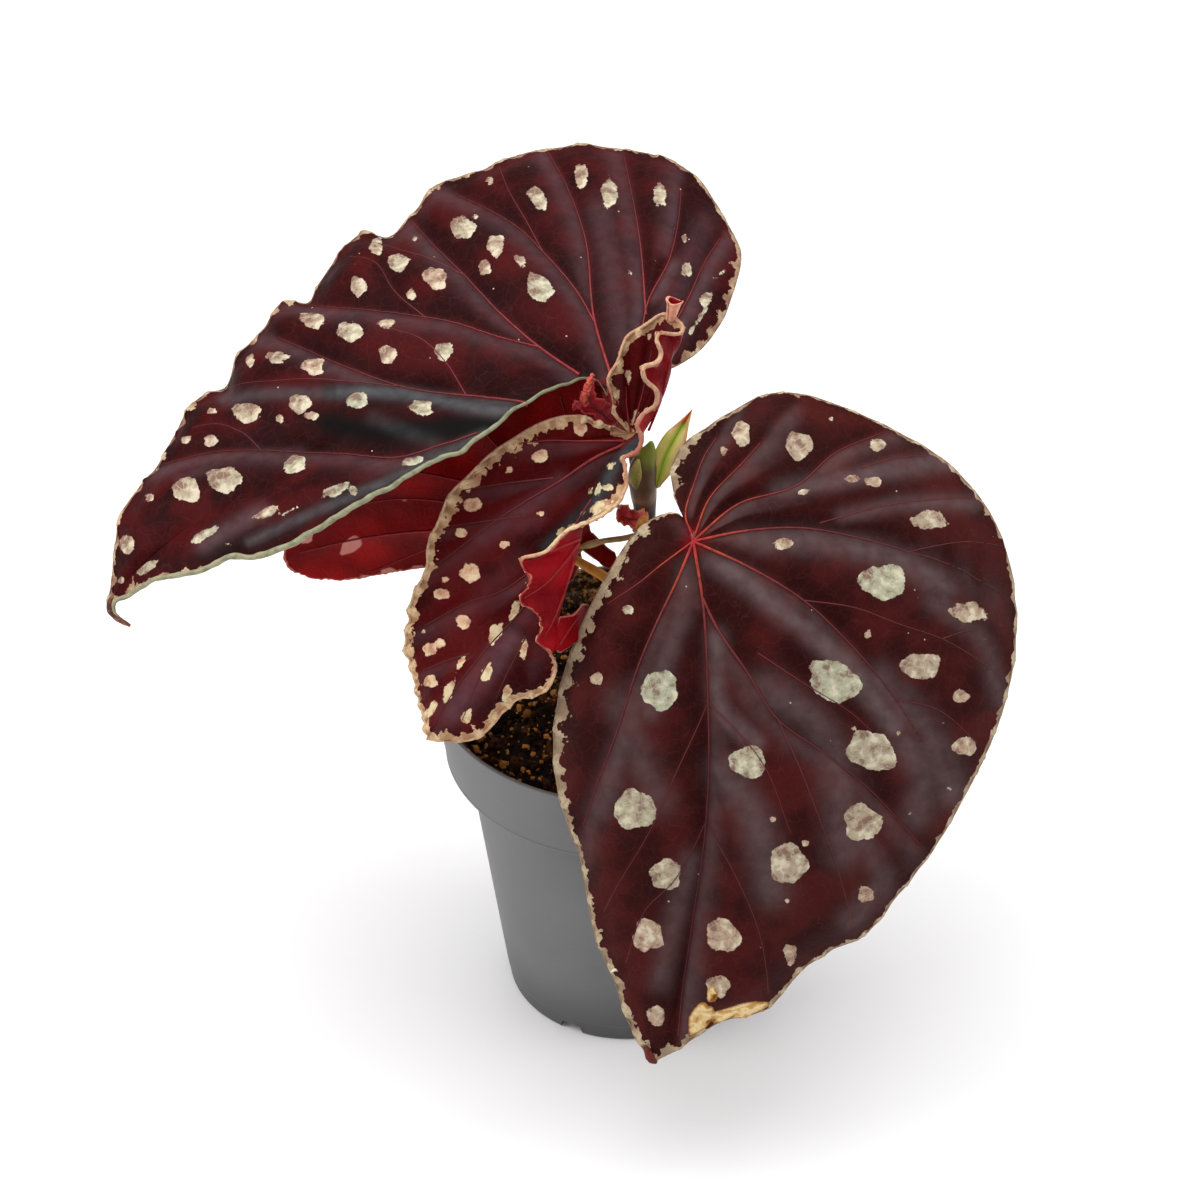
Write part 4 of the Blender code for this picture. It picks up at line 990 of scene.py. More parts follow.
upper_left_near = [
    (0, 0, 606, 396, 46), (0, 1, 598, 380, 48), (0.03, 2, 583, 378, 51), (0.09, 2, 556, 388, 55),
    (0.16, 2, 530, 401, 58), (0.25, 2, 480, 438, 63), (0.3, 2, 461, 452, 64), (0.36, 2, 428, 465, 66),
    (0.42, 2, 395, 486, 67), (0.48, 2, 362, 503, 67), (0.54, 2, 335, 520, 66), (0.6, 2, 286, 548, 63),
    (0.66, 2, 259, 558, 60), (0.71, 2, 233, 558, 56), (0.76, 2, 196, 574, 51), (0.81, 1, 161, 579, 46),
    (0.85, 1, 143, 587, 41), (0.89, 0, 130, 596, 37), (0.93, 0, 117, 602, 33), (0.96, 0, 115, 610, 32),
    (1, 0, 129, 625, 32),
]
upper_left_veins = [
    (0.5, 0.12, [(611, 376), (595, 324), (584, 235), (566, 186), (548, 153)]),
    (0.3, 0.1, [(595, 324), (579, 296), (543, 253), (522, 232), (494, 214), (456, 196)]),
    (0.5, 0.12, [(579, 376), (539, 348), (502, 316), (464, 276), (433, 245), (413, 222)]),
    (0.32, 0.1, [(539, 348), (502, 339), (451, 323), (400, 315), (309, 306)]),
    (0.4, 0.12, [(527, 403), (476, 398), (400, 387), (340, 365), (279, 339)]),
    (0.25, 0.1, [(400, 387), (330, 384), (224, 391)]),
    (0.32, 0.12, [
        (478, 434), (436, 448), (403, 458), (340, 455), (300, 453), (259, 451), (215, 453), (163, 465)]),
    (0.4, 0.12, [(646, 316), (640, 242), (632, 196), (624, 158)]),
    (0.4, 0.12, [(640, 370), (647, 306), (670, 258), (678, 222), (681, 191)]),
    (0.3, 0.12, [(660, 350), (688, 299), (706, 260), (719, 240)]),
    (0.22, 0.1, [(543, 253), (527, 225), (509, 195), (500, 170)]),
    (0.22, 0.1, [(464, 276), (430, 262), (400, 255), (372, 246)]),
    (0.22, 0.1, [(466, 396), (446, 366), (421, 343), (392, 334)]),
    (0.22, 0.1, [(428, 320), (391, 292), (374, 270), (352, 261)]),
    (0.2, 0.1, [(262, 451), (246, 436), (225, 430), (196, 431)]),
]
upper_left_spots = [
    (376, 247, 6.5, 8.5, 0, .2), (398, 263, 11, 9.5, 0, .5), (436, 279, 13, 10.5, 45, 0),
    (359, 287, 8, 10, 0, .2), (411, 294, 4.5, 6, 0, 0), (313, 321, 13.5, 8, 10, .2),
    (350, 332, 14, 10, 0, .5), (388, 324, 10, 5, 0, .2), (388, 355, 9, 10, 0, .1),
    (444, 352, 9.5, 9.5, 0, .6), (277, 358, 11, 7, 0, .3), (250, 362, 4.5, 6.5, 0, .1),
    (313, 367, 12, 9, 0, 0), (300, 404, 12.6, 9.4, -15, .4), (357, 401, 11.6, 8.3, 0, 1),
    (421, 408, 12.7, 8, 10, .8), (247, 413, 14, 11, 0, .3), (279, 419, 4, 4, 0, 0),
    (312, 417, 6.7, 4.4, 0, 0), (211, 411, 5.5, 3.5, 0, 0), (186, 440, 5, 4, 0, 0), (211, 441, 7, 7, 0, 0),
    (295, 465, 12.6, 9.3, -15, .8), (225, 480, 18.7, 13.6, 0, .5), (187, 490, 15, 13, 20, .4),
    (150, 498, 4.6, 3.5, 0, 0), (128, 544, 8.4, 9.6, 0, .2), (336, 491, 16, 6, -22, 1),
    (354, 493, 4.5, 4.5, 0, .9), (268, 513, 13, 4.5, -24, .2), (284, 513, 14, 1.6, -20, 1),
    (205, 536, 17, 4, -28, .7), (229, 545, 5, 2, 0, .5), (148, 568, 12, 4.5, -32, .6),
    (122, 581, 3, 3, 0, .4), (413, 462, 13, 4.5, -15, 1), (463, 229, 13.5, 12, 20, .5),
    (496, 246, 9.5, 11.5, 0, .3), (485, 268, 7.2, 8.5, 0, .1), (521, 262, 7.5, 4.5, 45, .4),
    (540, 288, 17, 12, 50, .7), (538, 199, 15, 7.5, 62, .5), (581, 176, 7, 12.3, 0, .3),
    (609, 194, 8.4, 16.5, 0, .5), (660, 196, 7, 12.8, 0, .5), (490, 181, 4, 4.6, 0, .2),
    (684, 240, 2.4, 4.5, 0, .3), (687, 271, 6.3, 7.5, 0, .4), (705, 300, 6, 8, 30, .6),
    (476, 217, 3, 2, 0, .5), (703, 313, 7, 1.5, -60, 1), (693, 328, 6, 1.5, -60, .8),
    (722, 273, 8, 1.5, -35, 1), (415, 240, 1.5, 2, 0, 0), (655, 262, 1.2, 1.5, 0, .5),
    (630, 272, 1.5, 1.5, 0, .5),
]
upper_left_leaf = blade("upper_left_blade", upper_left_spine, upper_left_far, upper_left_near, {
    "grain": 0.85, "jag": 0.12, "ruffle": (0.6, 10.0, 5.0), "pleat": 2.6, "uneven": 0.25, "thickness": 0.6,
    "veins": upper_left_veins, "spots": upper_left_spots, "vein_skin": vein_red, "bold": 0.29, "heart": 3.0,
    # These two lines also set the lean of painted light across the spots, and the painted sheen and painted
    # shade beside the veins
    "even": 30, "patchy": 0.9, "spot_light_side": 1.7,
    "vein_shine": (0.68, 3.6), "shade": 0.9, "rims": [
        (0, [(0, 0.24)], thin_rim),
        (1, [(0, 0.4), (0.3, 0.7), (0.65, 0.95), (0.9, 0.7), (1, 0.4)], rolled_rim)],
    "band": [
        (634, 384, 0.8), (700, 350, 1.6), (735, 285, 1.8), (722, 215, 1.2), (655, 155, 1.0), (585, 145, 1.0),
        (510, 158, 1.2), (432, 189, 1.8), (384, 239, 0.6), (360, 236, 1.6), (345, 250, 0.6), (310, 303, 0.5),
        (285, 303, 1.4), (264, 332, 0.5), (250, 340, 1.2), (239, 358, 0.6), (224, 391, 0.5), (204, 395, 1.8),
        (188, 414, 2.2), (180, 440, 0.6), (161, 462, 1.6), (150, 480, 0.8), (124, 508, 0.8), (113, 572, 1.0),
        (112, 600, 3.0), (129, 625, 4.0), (161, 579, 1.0), (233, 558, 0.3), (286, 548, 0.3), (335, 520, 0.3),
        (395, 486, 0.3), (461, 452, 0.3), (530, 401, 0.3), (583, 378, 0.3),
    ],
    # Strokes of painted sheen, cool grey where they cross the dark shade bands
    "sheen": [
        (7, .95, [(340, 393), (375, 392), (415, 396), (470, 407), (530, 413), (575, 406)]),
        (7, .6, [(225, 401), (252, 396), (313, 394), (345, 393)]),
        (5, .75, [(485, 434), (440, 456), (390, 480), (330, 506), (250, 542)]),
        (8, .25, [(374, 419), (405, 432), (436, 445)]), (7, .35, [(300, 452), (230, 460), (180, 478)]),
        (9, .7, [(262, 512), (232, 528), (205, 545)]), (14, .4, [(625, 350), (612, 270), (600, 210)]),
        (12, .35, [(665, 320), (690, 265), (705, 225)]),
    ],
    # Dark bands of painted shade
    "shade_band": [
        (18, 1.0, [(600, 396), (520, 420), (440, 430), (380, 432), (330, 425)]),
        (12, .9, [(330, 393), (375, 392), (415, 396), (470, 407), (530, 413)]),
        (9, .5, [(240, 397), (290, 395), (340, 393)]),
        (11, .8, [(520, 415), (450, 450), (390, 482), (330, 505)]),
        (8, .6, [(330, 505), (260, 538), (190, 562)]),
    ],
    "top": top_finishes["upper_left_leaf"], "under": crimson_under,
})
tail_rows = [(0.7, 117, 594, 32.6), (1.2, 111, 602, 31.6), (1.15, 110.5, 610, 31.0), (1.0, 116, 617, 31.2),
             (0.8, 123, 622, 31.8), (0.45, 130, 625.5, 32.2)]
tail_skin = ridge_skin("dried brown leaf tip", [
    (0.0, "#5d3426"), (0.5, "#4a2118"), (1.0, "#6b3c2a")], "#8a6a54", 1.2)
dried_tail = stalks("dried_tail", [on_path(tail_rows, 30)], tail_skin, sides=12, bump=0.6, bump_size=1.5)
join(upper_left_leaf, dried_tail)
stand_for(upper_left_leaf, "upper_left_leaf")

# %% [markdown]
# ## Centre leaf
# A young leaf with a strongly ruffled, cream-brown margin. Its upper lobe stands up in waves, and
# its right half folds over so that a flap of the crimson underside hangs over the pot.

# %% Centre leaf
centre_spine = [
    (630, 434, 43), (592, 496, 46), (548, 572, 49), (505, 628, 51), (470, 660, 52), (446, 704, 50),
    (426, 740, 48),
]
centre_outer = [
    (0, 0, 616, 428, 45), (0, 0, 599, 423, 46), (0, 1, 579, 416, 47), (0, 1, 543, 422, 47),
    (0, 2, 513, 439, 46), (0, 2, 490, 454, 45), (0.03, 3, 467, 477, 44), (0.09, 3, 449, 495, 42),
    (0.16, 3, 439, 520, 41), (0.24, 4, 428, 543, 40), (0.32, 4, 426, 569, 39), (0.4, 4, 411, 599, 38),
    (0.48, 4, 408, 620, 38), (0.57, 3, 405, 650, 38), (0.66, 3, 412, 672, 39), (0.77, 2, 418, 699, 41),
    (0.89, 1, 424, 722, 45), (1, 0, 426, 740, 48),
]
centre_inner = [
    (0, 0, 611.4, 412.7, 46), (0, 0, 612.7, 395, 49), (0, 0, 606.3, 382, 51), (0, 0, 610.2, 372, 51),
    (0, 0, 619, 359, 52), (0, 0, 623, 341, 52), (0, 0, 633, 331, 52), (0, 0, 643.3, 326, 53),
    (0, 0, 654, 318, 53), (0, 0, 665, 312, 54), (0, 0, 676, 318, 56, 660, 366, 50),
    (0, 0, 684, 326, 59, 667, 362, 51), (0, 0, 682.5, 333, 62, 671, 366, 52),
    (0, 0, 672, 335, 64, 672, 368, 52), (0, 0, 659, 331, 66, 672, 371, 53),
    (0, 0, 656, 344, 66, 671, 377, 53), (0, 0, 662.5, 354, 64, 670, 381, 53),
    (0, 0, 653.6, 364, 65, 668, 386, 53), (0, 0, 641, 368, 66, 666, 390, 53),
    (0, 0, 642, 377, 65, 663, 395, 52), (0, 0, 651, 385, 62, 660, 401, 51),
    (0, 0, 658, 395, 60, 658, 408, 50), (0, 0, 656, 405, 58, 654, 416, 49),
    (0, 0, 643, 413, 57, 650, 422, 48), (0, 0, 636, 425, 56, 645, 430, 47),
    (0, 0, 643, 441, 54, 641, 436, 47), (0.02, 1, 633, 456, 54), (0.06, 1, 623, 459, 55),
    (0.1, 1, 628, 474, 55), (0.14, 1, 622, 500, 55), (0.19, 1, 597, 519, 58, 594, 510, 50),
    (0.24, 0, 564, 532, 64, 584, 529, 53), (0.29, 0, 544, 553, 67, 580, 545, 54),
    (0.33, 0, 519, 560, 69, 576, 560, 54), (0.37, 0, 528.5, 576, 67, 573, 572, 54),
    (0.41, 0, 528, 587, 67, 571, 582, 54), (0.46, 0, 518.5, 599, 68, 568, 594, 54),
    (0.51, 0, 534, 612, 65, 564, 608, 54), (0.56, 0, 542, 624, 64, 560, 622, 54),
    (0.6, 0, 536.5, 642, 64, 558, 634, 55), (0.64, 0, 547, 650, 61, 556, 645, 55),
    (0.68, 1, 556, 663, 55), (0.75, 2, 545, 692, 52), (0.83, 2, 518, 699, 50), (0.9, 1, 500, 716, 48),
    (0.95, 1, 480, 737, 47), (0.98, 0, 446, 742, 47), (1, 0, 426, 740, 48),
]
centre_veins = [
    (0.6, 0.14, [(626, 444), (598, 456), (557, 483), (530, 499), (489, 526), (449, 556), (435, 566)]),
    (0.42, 0.12, [(624, 441), (584, 441), (553, 440), (520, 443)]),
    (0.28, 0.1, [(553, 478), (508, 483), (463, 490)]),
    (0.28, 0.1, [(520, 517), (489, 521), (452, 526)]),
    (0.4, 0.12, [(592, 500), (560, 545), (526, 575), (496, 594), (475, 600), (426, 625)]),
    (0.3, 0.1, [(471, 654), (445, 662), (424, 670)]),
    (0.35, 0.12, [(630, 432), (628, 420), (626, 404), (625, 387)]),
    (0.3, 0.12, [(634, 424), (642, 396), (648, 370), (652, 350)]),
    (0.35, 0.12, [(548, 572), (520, 612), (486, 650), (455, 690), (434, 725)]),
    (0.22, 0.1, [(526, 640), (510, 668), (496, 696)]),
    (0.22, 0.1, [(490, 660), (474, 690), (462, 720)]),
]
centre_spots = [
    (540, 456, 8.8, 7.4, 0, .1), (580, 429, 7, 6.6, 0, 0), (510, 470, 3.5, 2.8, 0, 0),
    (473, 505, 9.7, 7.3, 0, .1), (461, 533, 6.7, 4.8, 0, .1), (541, 514, 3.3, 2.6, 0, 0),
    (505, 545, 4.2, 3.5, 0, .1), (470, 573, 10.7, 9.8, 0, .1), (446, 580, 5.2, 3.3, 0, .1),
    (441, 594, 9, 6, 10, .1), (464, 622, 8, 7, 0, .1), (495, 634, 12, 6, -65, .6), (429, 649, 8, 7, 0, .2),
    (441, 643, 5, 4.5, 0, .1), (431, 682, 7, 7, 0, .4), (515, 610, 11, 4.5, -70, .4),
    (487, 671, 12, 5, -65, .7), (524, 648, 13, 3, -80, .5), (461, 664, 9, 3.5, -62, .5),
    (450, 690, 12, 3.5, -68, .6), (431, 710, 10, 4, -60, .8), (467, 716, 8, 5, -65, .8),
    (507, 692, 9, 4, -70, .8), (424, 632, 2, 2, 0, .5), (611.5, 466, 5.5, 3, -40, .9),
    (599, 489, 3, 8, 15, .9), (607, 488, 5.5, 3.8, -10, 1), (582, 514, 5, 3, -40, .8),
    (602, 508, 14, 7.5, -25, 1), (616, 503, 9, 7, -20, 1), (500, 468, 1.5, 1.5, 0, 0),
    (505, 473, 1.5, 1.2, 0, 0), (579, 529, 13, 5.5, 10, 1), (635, 416, 2.5, 9, 20, .8),
    (591, 490, 1.8, 6, 15, .9), (628, 376, 3.3, 7, -8, .1), (649, 337, 2.3, 3.3, 0, 0),
    (609, 410, 3, 6, -20, 0), (560, 531, 7, 4, -50, .9),
]
centre_leaf = blade("centre_blade", centre_spine, centre_outer, centre_inner, {
    "grain": 0.68, "jag": 0.25, "ruffle": (1.0, 5.0, 3.4), "pleat": 1.6, "uneven": 0.2, "thickness": 0.5,
    "veins": centre_veins, "spots": centre_spots, "vein_skin": vein_red, "bold": 0.27, "heart": 3.0,
    # Painted sheen beside the veins, and the strength of their painted shade
    "vein_shine": (0.4, 3.5), "shade": 0.9,
    # Dark strokes: the upper lobe's deep red, partly its own colour and partly painted shade, and painted shade
    # lower down
    "dark": [(18, .9, [(642, 345), (632, 380), (632, 412)]), (14, .5, [(490, 610), (466, 648)])],
    "rims": [
        (0, [(0, 0.45)], cream_rim),
        (1, [(0, 0.4), (0.06, 0.5), (0.19, 0.55), (0.23, 0.55), (0.25, 0.7), (0.42, 0.7), (0.46, 0.6),
             (0.55, 0.6), (0.6, 0.5), (0.62, 0.25), (0.78, 0.25), (0.82, 0.55), (1, 0.45)], flap_rim),
    ],
    "back_veins": [
        (0.35, 0.12, [(579, 539), (560, 547), (540, 556), (526, 561)]),
        (0.38, 0.12, [(578, 543), (562, 565), (545, 584), (524, 598)]),
        (0.34, 0.12, [(573, 562), (561, 600), (549, 628), (541, 640)]),
        (0.28, 0.1, [(648, 430), (660, 400), (667, 372), (673, 348)]),
    ],
    "band": [
        (599, 423, 1.2), (560, 418, 3.0), (513, 439, 3.4), (467, 477, 3.4), (439, 520, 3.6), (426, 569, 3.0),
        (408, 620, 3.4), (410, 660, 2.8), (418, 699, 1.8), (426, 740, 3.0), (460, 742, 3.6), (500, 716, 3.0),
        (545, 692, 2.4), (556, 660, 1.0), (540, 628, 0.3), (519, 599, 0.3), (519, 560, 0.6), (544, 553, 2.4),
        (564, 532, 3.2), (592, 522, 3.4), (616, 508, 3.6), (626, 470, 1.6), (638, 450, 1.6), (650, 395, 1.2),
        (662, 340, 1.2), (676, 312, 2.6), (643, 326, 2.4), (620, 352, 2.0), (608, 390, 1.8),
    ],
    # Strokes of painted grey sheen
    "sheen": [
        (9, .6, [(560, 480), (520, 512), (480, 540)]), (12, .25, [(520, 560), (480, 600)]),
        (13, .8, [(510, 640), (480, 680), (450, 715)]),
        (8, .7, [(640, 440), (618, 462), (604, 488), (574, 522), (548, 548)]),
    ],
    # A dark band of painted shade with a painted cool sheen
    "shade_band": [(9, 1.0, [(641, 440), (626, 455), (612, 472), (602, 492), (585, 512), (566, 528), (545, 548)])],
    "top": top_finishes["centre_leaf"], "under": bright_under,
})

# Lower fold of the same leaf, which turns up beside the front leaf
fold_spine = [(556, 650, 56), (566, 636, 55), (577, 620, 52), (588, 604, 48)]
fold_lower = [(0, 0, 560, 653, 55), (0.4, 0, 576, 642, 51), (0.75, 0, 588, 625, 47), (1, 0, 588, 604, 48)]
fold_upper = [
    (0, 0, 555, 640, 57), (0.3, 0, 560, 617, 57), (0.6, 0, 572, 616, 54), (0.85, 0, 584, 604, 50),
    (1, 0, 588, 604, 48),
]
fold_rim = ridge_skin("pink rim that dries golden", [
    (0.0, "#a03038"), (0.7, "#b04444"), (0.8, "#b8853f"), (1.0, "#9c7038")], "#8a2a30", 1.6)
lower_fold = blade("lower_fold", fold_spine, fold_lower, fold_upper, {
    "grain": 0.5, "jag": 0.2, "ruffle": (0.5, 5.0, 2.0), "pleat": 0.6, "uneven": 0.2, "thickness": 0.5,
    "veins": [(0.3, 0.12, [(557, 648), (566, 634), (577, 618)])],
    "spots": [], "vein_skin": vein_under, "bold": 0.2,
    "band": [(570, 616, 0.4)], "sheen": [], "underside_shows": True,
    "rims": [(1, [(0, 0.28), (0.7, 0.28), (0.85, 0.7), (1, 0.6)], fold_rim)],
    "top": top_finishes["centre_leaf"], "under": bright_under})

# Tip of the upper lobe, still rolled up like a scroll
ROLL_ROWS, ROLL_STEPS, ROLL_TURNS, ROLL_WALL = 12, 44, 1.25, 0.4
foot, head = on_sheet([(670.5, 321, 55.5), (675, 300.5, 58.5)])
roll_axis = (head - foot) / np.linalg.norm(head - foot)
across = np.cross(roll_axis, TOWARD)
across /= np.linalg.norm(across)
ahead = np.cross(across, roll_axis)
roll = []
for wall in (0.0, ROLL_WALL):
    for i in range(ROLL_ROWS + 1):
        for j in range(ROLL_STEPS + 1):
            t, turned_by = i / ROLL_ROWS, j / ROLL_STEPS
            angle = 2 * math.pi * ROLL_TURNS * turned_by + 2.4
            flare = 0.5 * max(0.0, t - 0.8) * 5 * (0.5 + 0.5 * math.sin(3 * angle))
            wide = 1.4 + 1.1 * t + flare - 0.55 * turned_by - wall
            spot = foot + (head - foot) * t + wide * (across * math.cos(angle) + ahead * math.sin(angle))
            roll.append(spot + roll_axis * 0.5 * t * math.sin(2 * angle + 1.0))
step = ROLL_STEPS + 1
side = (ROLL_ROWS + 1) * step
cells = [(i * step + j, i * step + j + 1) for i in range(ROLL_ROWS) for j in range(ROLL_STEPS)]
outer = [(a, b, b + step, a + step) for a, b in cells]
inner = [tuple(side + k for k in face[::-1]) for face in outer]
border = list(range(step)) + [(i + 1) * step - 1 for i in range(1, ROLL_ROWS + 1)]
border += [side - 1 - k for k in range(1, step)] + [i * step for i in range(ROLL_ROWS - 1, 0, -1)]
walls = [(b, a, a + side, b + side) for a, b in zip(border, border[1:] + border[:1])]
roll_mesh = bpy.data.meshes.new("rolled_tip")
roll_mesh.from_pydata((np.array(roll) * MM).tolist(), [], outer + inner + walls)
store(roll_mesh, "along", np.full(len(roll), 0.1))
for label in ("vein", "spot", "edge"):
    store(roll_mesh, label, np.full(len(roll), 9.0 if label != "spot" else -9.0))
salmon_tip = ridge_skin("salmon rolled leaf tip", [(0.0, "#d89a80"), (1.0, "#e0b090")], "#c06a58", 1.4)
roll_mesh.materials.append(salmon_tip)
roll_mesh.materials.append(bright_under)
roll_mesh.polygons.foreach_set("material_index", [0] * len(outer) + [1] * len(inner) + [0] * len(walls))
roll_mesh.polygons.foreach_set("use_smooth", [True] * len(roll_mesh.polygons))
roll_mesh.update()
rolled_tip = stood("rolled_tip", roll_mesh)
join(centre_leaf, lower_fold, rolled_tip)
stand_for(centre_leaf, "centre_leaf")

# %% [markdown]
# ## Back left leaf
# Only the crimson underside of this hanging leaf shows, below the upper left leaf. Its veins stand out
# from that side, and the top's spots show through as faint pink patches.

# %% Back left leaf
back_spine = [(580, 548, 12), (520, 536, 8), (440, 530, 4), (360, 538, -1), (283, 558, -7)]
back_upper = [
    (0, 0, 594, 558, 11), (0, 0, 610, 568, 9), (0, 0, 617, 557, 11), (0, 0, 604, 544, 14),
    (0, 0, 591, 531, 17), (0, 0, 588, 505, 21), (0, -1, 603, 468, 25), (0, -2, 616, 430, 29),
    (0, -3, 607, 386, 33), (0.02, -4, 560, 374, 33), (0.1, -4, 510, 380, 32), (0.24, -4, 455, 405, 29),
    (0.4, -3, 400, 436, 25), (0.57, -2, 348, 472, 17), (0.75, -1, 308, 508, 8), (0.9, 0, 286, 540, -3),
    (1, 0, 283, 558, -7),
]
back_lower = [
    (0, 0, 582, 558, 11), (0, 0, 574, 578, 7), (0, 0, 556, 592, 2), (0, -1, 530, 594, -2),
    (0.12, -2, 490, 584, -6), (0.32, -2, 430, 568, -9), (0.5, -2, 390, 573, -12),
    (0.68, -1, 345, 580, -13), (0.84, 0, 308, 577, -12), (0.94, 0, 288, 568, -9), (1, 0, 283, 558, -7),
]
back_veins = [
    (0.6, 0.15, [(580, 548), (520, 536), (440, 530), (360, 538), (300, 552)]),
    (0.45, 0.12, [(578, 545), (540, 500), (500, 450), (470, 415)]),
    (0.45, 0.12, [(575, 540), (520, 500), (450, 478), (390, 470), (360, 472)]),
    (0.35, 0.12, [(540, 540), (470, 508), (400, 500), (330, 512)]),
    (0.35, 0.12, [(560, 552), (500, 565), (450, 568)]),
    (0.3, 0.12, [(480, 533), (420, 552), (370, 572)]),
    (0.35, 0.12, [(582, 540), (575, 490), (570, 440), (560, 395)]),
]
back_leaf = blade("back_left_blade", back_spine, back_upper, back_lower, {
    "grain": 0.9, "jag": 0.2, "ruffle": (0.4, 9.0, 6.0), "pleat": 1.0, "uneven": 0.4, "thickness": 0.6,
    "veins": back_veins, "vein_skin": vein_red, "underside_shows": True,
    "spots": [
        (351, 545, 14, 8, -38, 0), (306, 538, 9, 6, -30, 0), (390, 572, 10, 4, 0, 0), (365, 576, 7, 3, 0, 0),
        (418, 568, 8, 3, 0, 0), (405, 500, 3, 2, 0, 0),
    ],
    "band": [
        (594, 558, 0.8), (598, 468, 1.0), (510, 380, 1.2), (400, 436, 1.2), (308, 508, 1.2), (286, 540, 1.6),
        (283, 560, 2.2), (300, 577, 1.0), (345, 580, 1.0), (430, 568, 1.2), (530, 594, 1.0),
    ],
    "sheen": [], "top": top_finishes["upper_left_leaf"], "under": crimson_under,
})
stand_for(back_leaf, "back_left_leaf")

# %% [markdown]
# ## Stem and petioles
# The stem is short, olive and brown, with a swollen node where leaves leave it. The petioles are round,
# fleshy and redder toward the leaf. All follow the CAD part's own paths and use the sweep tree.

# %% Stalk materials
def stalk_skin(name, stops, dark, pale):
    """Fleshy stalk skin: satin, streaked lengthwise, with small pale pores."""
    material, tree, shader = finish_material(name)
    place = add(tree, "ShaderNodeTexCoord", out="Object")
    along = add(tree, STORED, out="Fac", attribute_name="along")
    stretched = add(tree, "ShaderNodeMapping", {"Vector": place, "Scale": (1.0, 1.0, 0.25)}, "Vector")
    streaks = add(tree, NOISE, {"Vector": stretched, "Scale": PER_MM / 2.0, "Detail": 4.0}, "Fac")
    patches = add(tree, NOISE, {"Vector": place, "Scale": PER_MM / 7.0, "Detail": 2.0}, "Fac")
    pores = add(tree, CELLS, {"Vector": place, "Scale": PER_MM / 2.6}, "Distance")
    colour = add(tree, RAMP, {"Fac": along}, "Color", stops=stops)
    streaky = add(tree, STEP, (streaks, 0.38, 0.7, 0.0, 0.35), **SMOOTH)
    colour = add(tree, MIX, (streaky, colour, dark), **COLOURS)
    faded = add(tree, STEP, (patches, 0.45, 0.65, 0.0, 0.25), **SMOOTH)
    colour = add(tree, MIX, (faded, colour, pale), **COLOURS)
    pored = add(tree, STEP, (pores, 0.08, 0.16, 0.4, 0.0), **SMOOTH)
    colour = add(tree, MIX, (pored, colour, pale), **COLOURS)
    rough = add(tree, STEP, (streaks, 0.3, 0.7, 0.34, 0.5), **SMOOTH)
    coat(tree, shader, colour, rough, 0.2, streaks, 0.4, 0.0004)
    return material


olive_stem = stalk_skin("olive begonia stem", [
    (0.0, "#1c0f08"), (0.79, "#24140c"), (0.82, "#4a3428"), (0.842, "#a08468"), (0.875, "#6e5a40"),
    (0.93, "#6a563c"), (0.965, "#8a9a40")], "#3a2a1a", "#806a50")
red_petiole = stalk_skin("red begonia petiole", [
    (0.0, "#7d5a30"), (0.5, "#983226"), (1.0, "#a82a28")], "#64201a", "#b8584a")
ochre_petiole = stalk_skin("ochre begonia petiole", [
    (0.0, "#d08a30"), (0.5, "#f0b04c"), (1.0, "#d8963a")], "#b8742a", "#f4cc78")
pale_stalk = stalk_skin("pale side shoot", [
    (0.0, "#c0b070"), (0.6, "#d0be80"), (1.0, "#a88a50")], "#8d7a44", "#e8dca8")
bud_skin = stalk_skin("olive side bud", [
    (0.0, "#75702e"), (0.5, "#aaa650"), (1.0, "#c4bc70")], "#5c5424", "#cfc88a")

# %% Stem
stem_rows = [
    (4.6, 643, 766, -34.0), (4.6, 643, 732, -26.5), (4.0, 643, 672, -12.5), (3.6, 643, 614, 0.6),
    (3.3, 644, 560, 13.0), (3.2, 645, 520, 22.0), (3.5, 644.5, 503, 26.0), (4.0, 643, 490, 29.0),
    (4.15, 642.5, 476, 32.0), (3.4, 645, 460, 36.0), (1.7, 650, 448, 38.5), (0.6, 651, 442, 39.6),
]
stem = stalks("stem_with_node", [on_path(stem_rows, 110)], olive_stem, sides=32, bump=0.7, bump_size=5.0)
side_bud = [
    (0.4, 636, 489, 34.5), (1.5, 635.5, 482, 36.0), (1.9, 635.5, 474, 37.6), (1.3, 637, 466, 38.4),
    (0.4, 638.5, 459, 38.6),
]
join(stem, stalks("side_bud", [on_path(side_bud, 30)], bud_skin, sides=20, bump=0.25, bump_size=2.0))
stand_for(stem, "main_stem")

# %% Petioles and side shoot
def seated(rows, base, near_leaf, end_width):
    """Petiole path that ends just under a leaf's base."""
    points = np.array([v.co for v in near_leaf.data.vertices]) / MM
    normals = np.array([v.normal for v in near_leaf.data.vertices])
    goal = on_sheet(base)
    away = np.linalg.norm(points - goal, axis=1)
    close = (away < 6.0) & (np.arange(len(points)) < len(points) // 3)
    outward = normals[close].sum(axis=0)
    outward /= np.linalg.norm(outward)
    path = np.column_stack([np.array(rows)[:, 0], on_sheet(np.array(rows, float)[:, 1:4])])
    ends = [(end_width * 1.1, *(goal - outward * 6.0)), (end_width, *(goal - outward * 0.35))]
    return smooth_rows(np.vstack([path, ends]), np.linspace(0, 1, 40))[0]


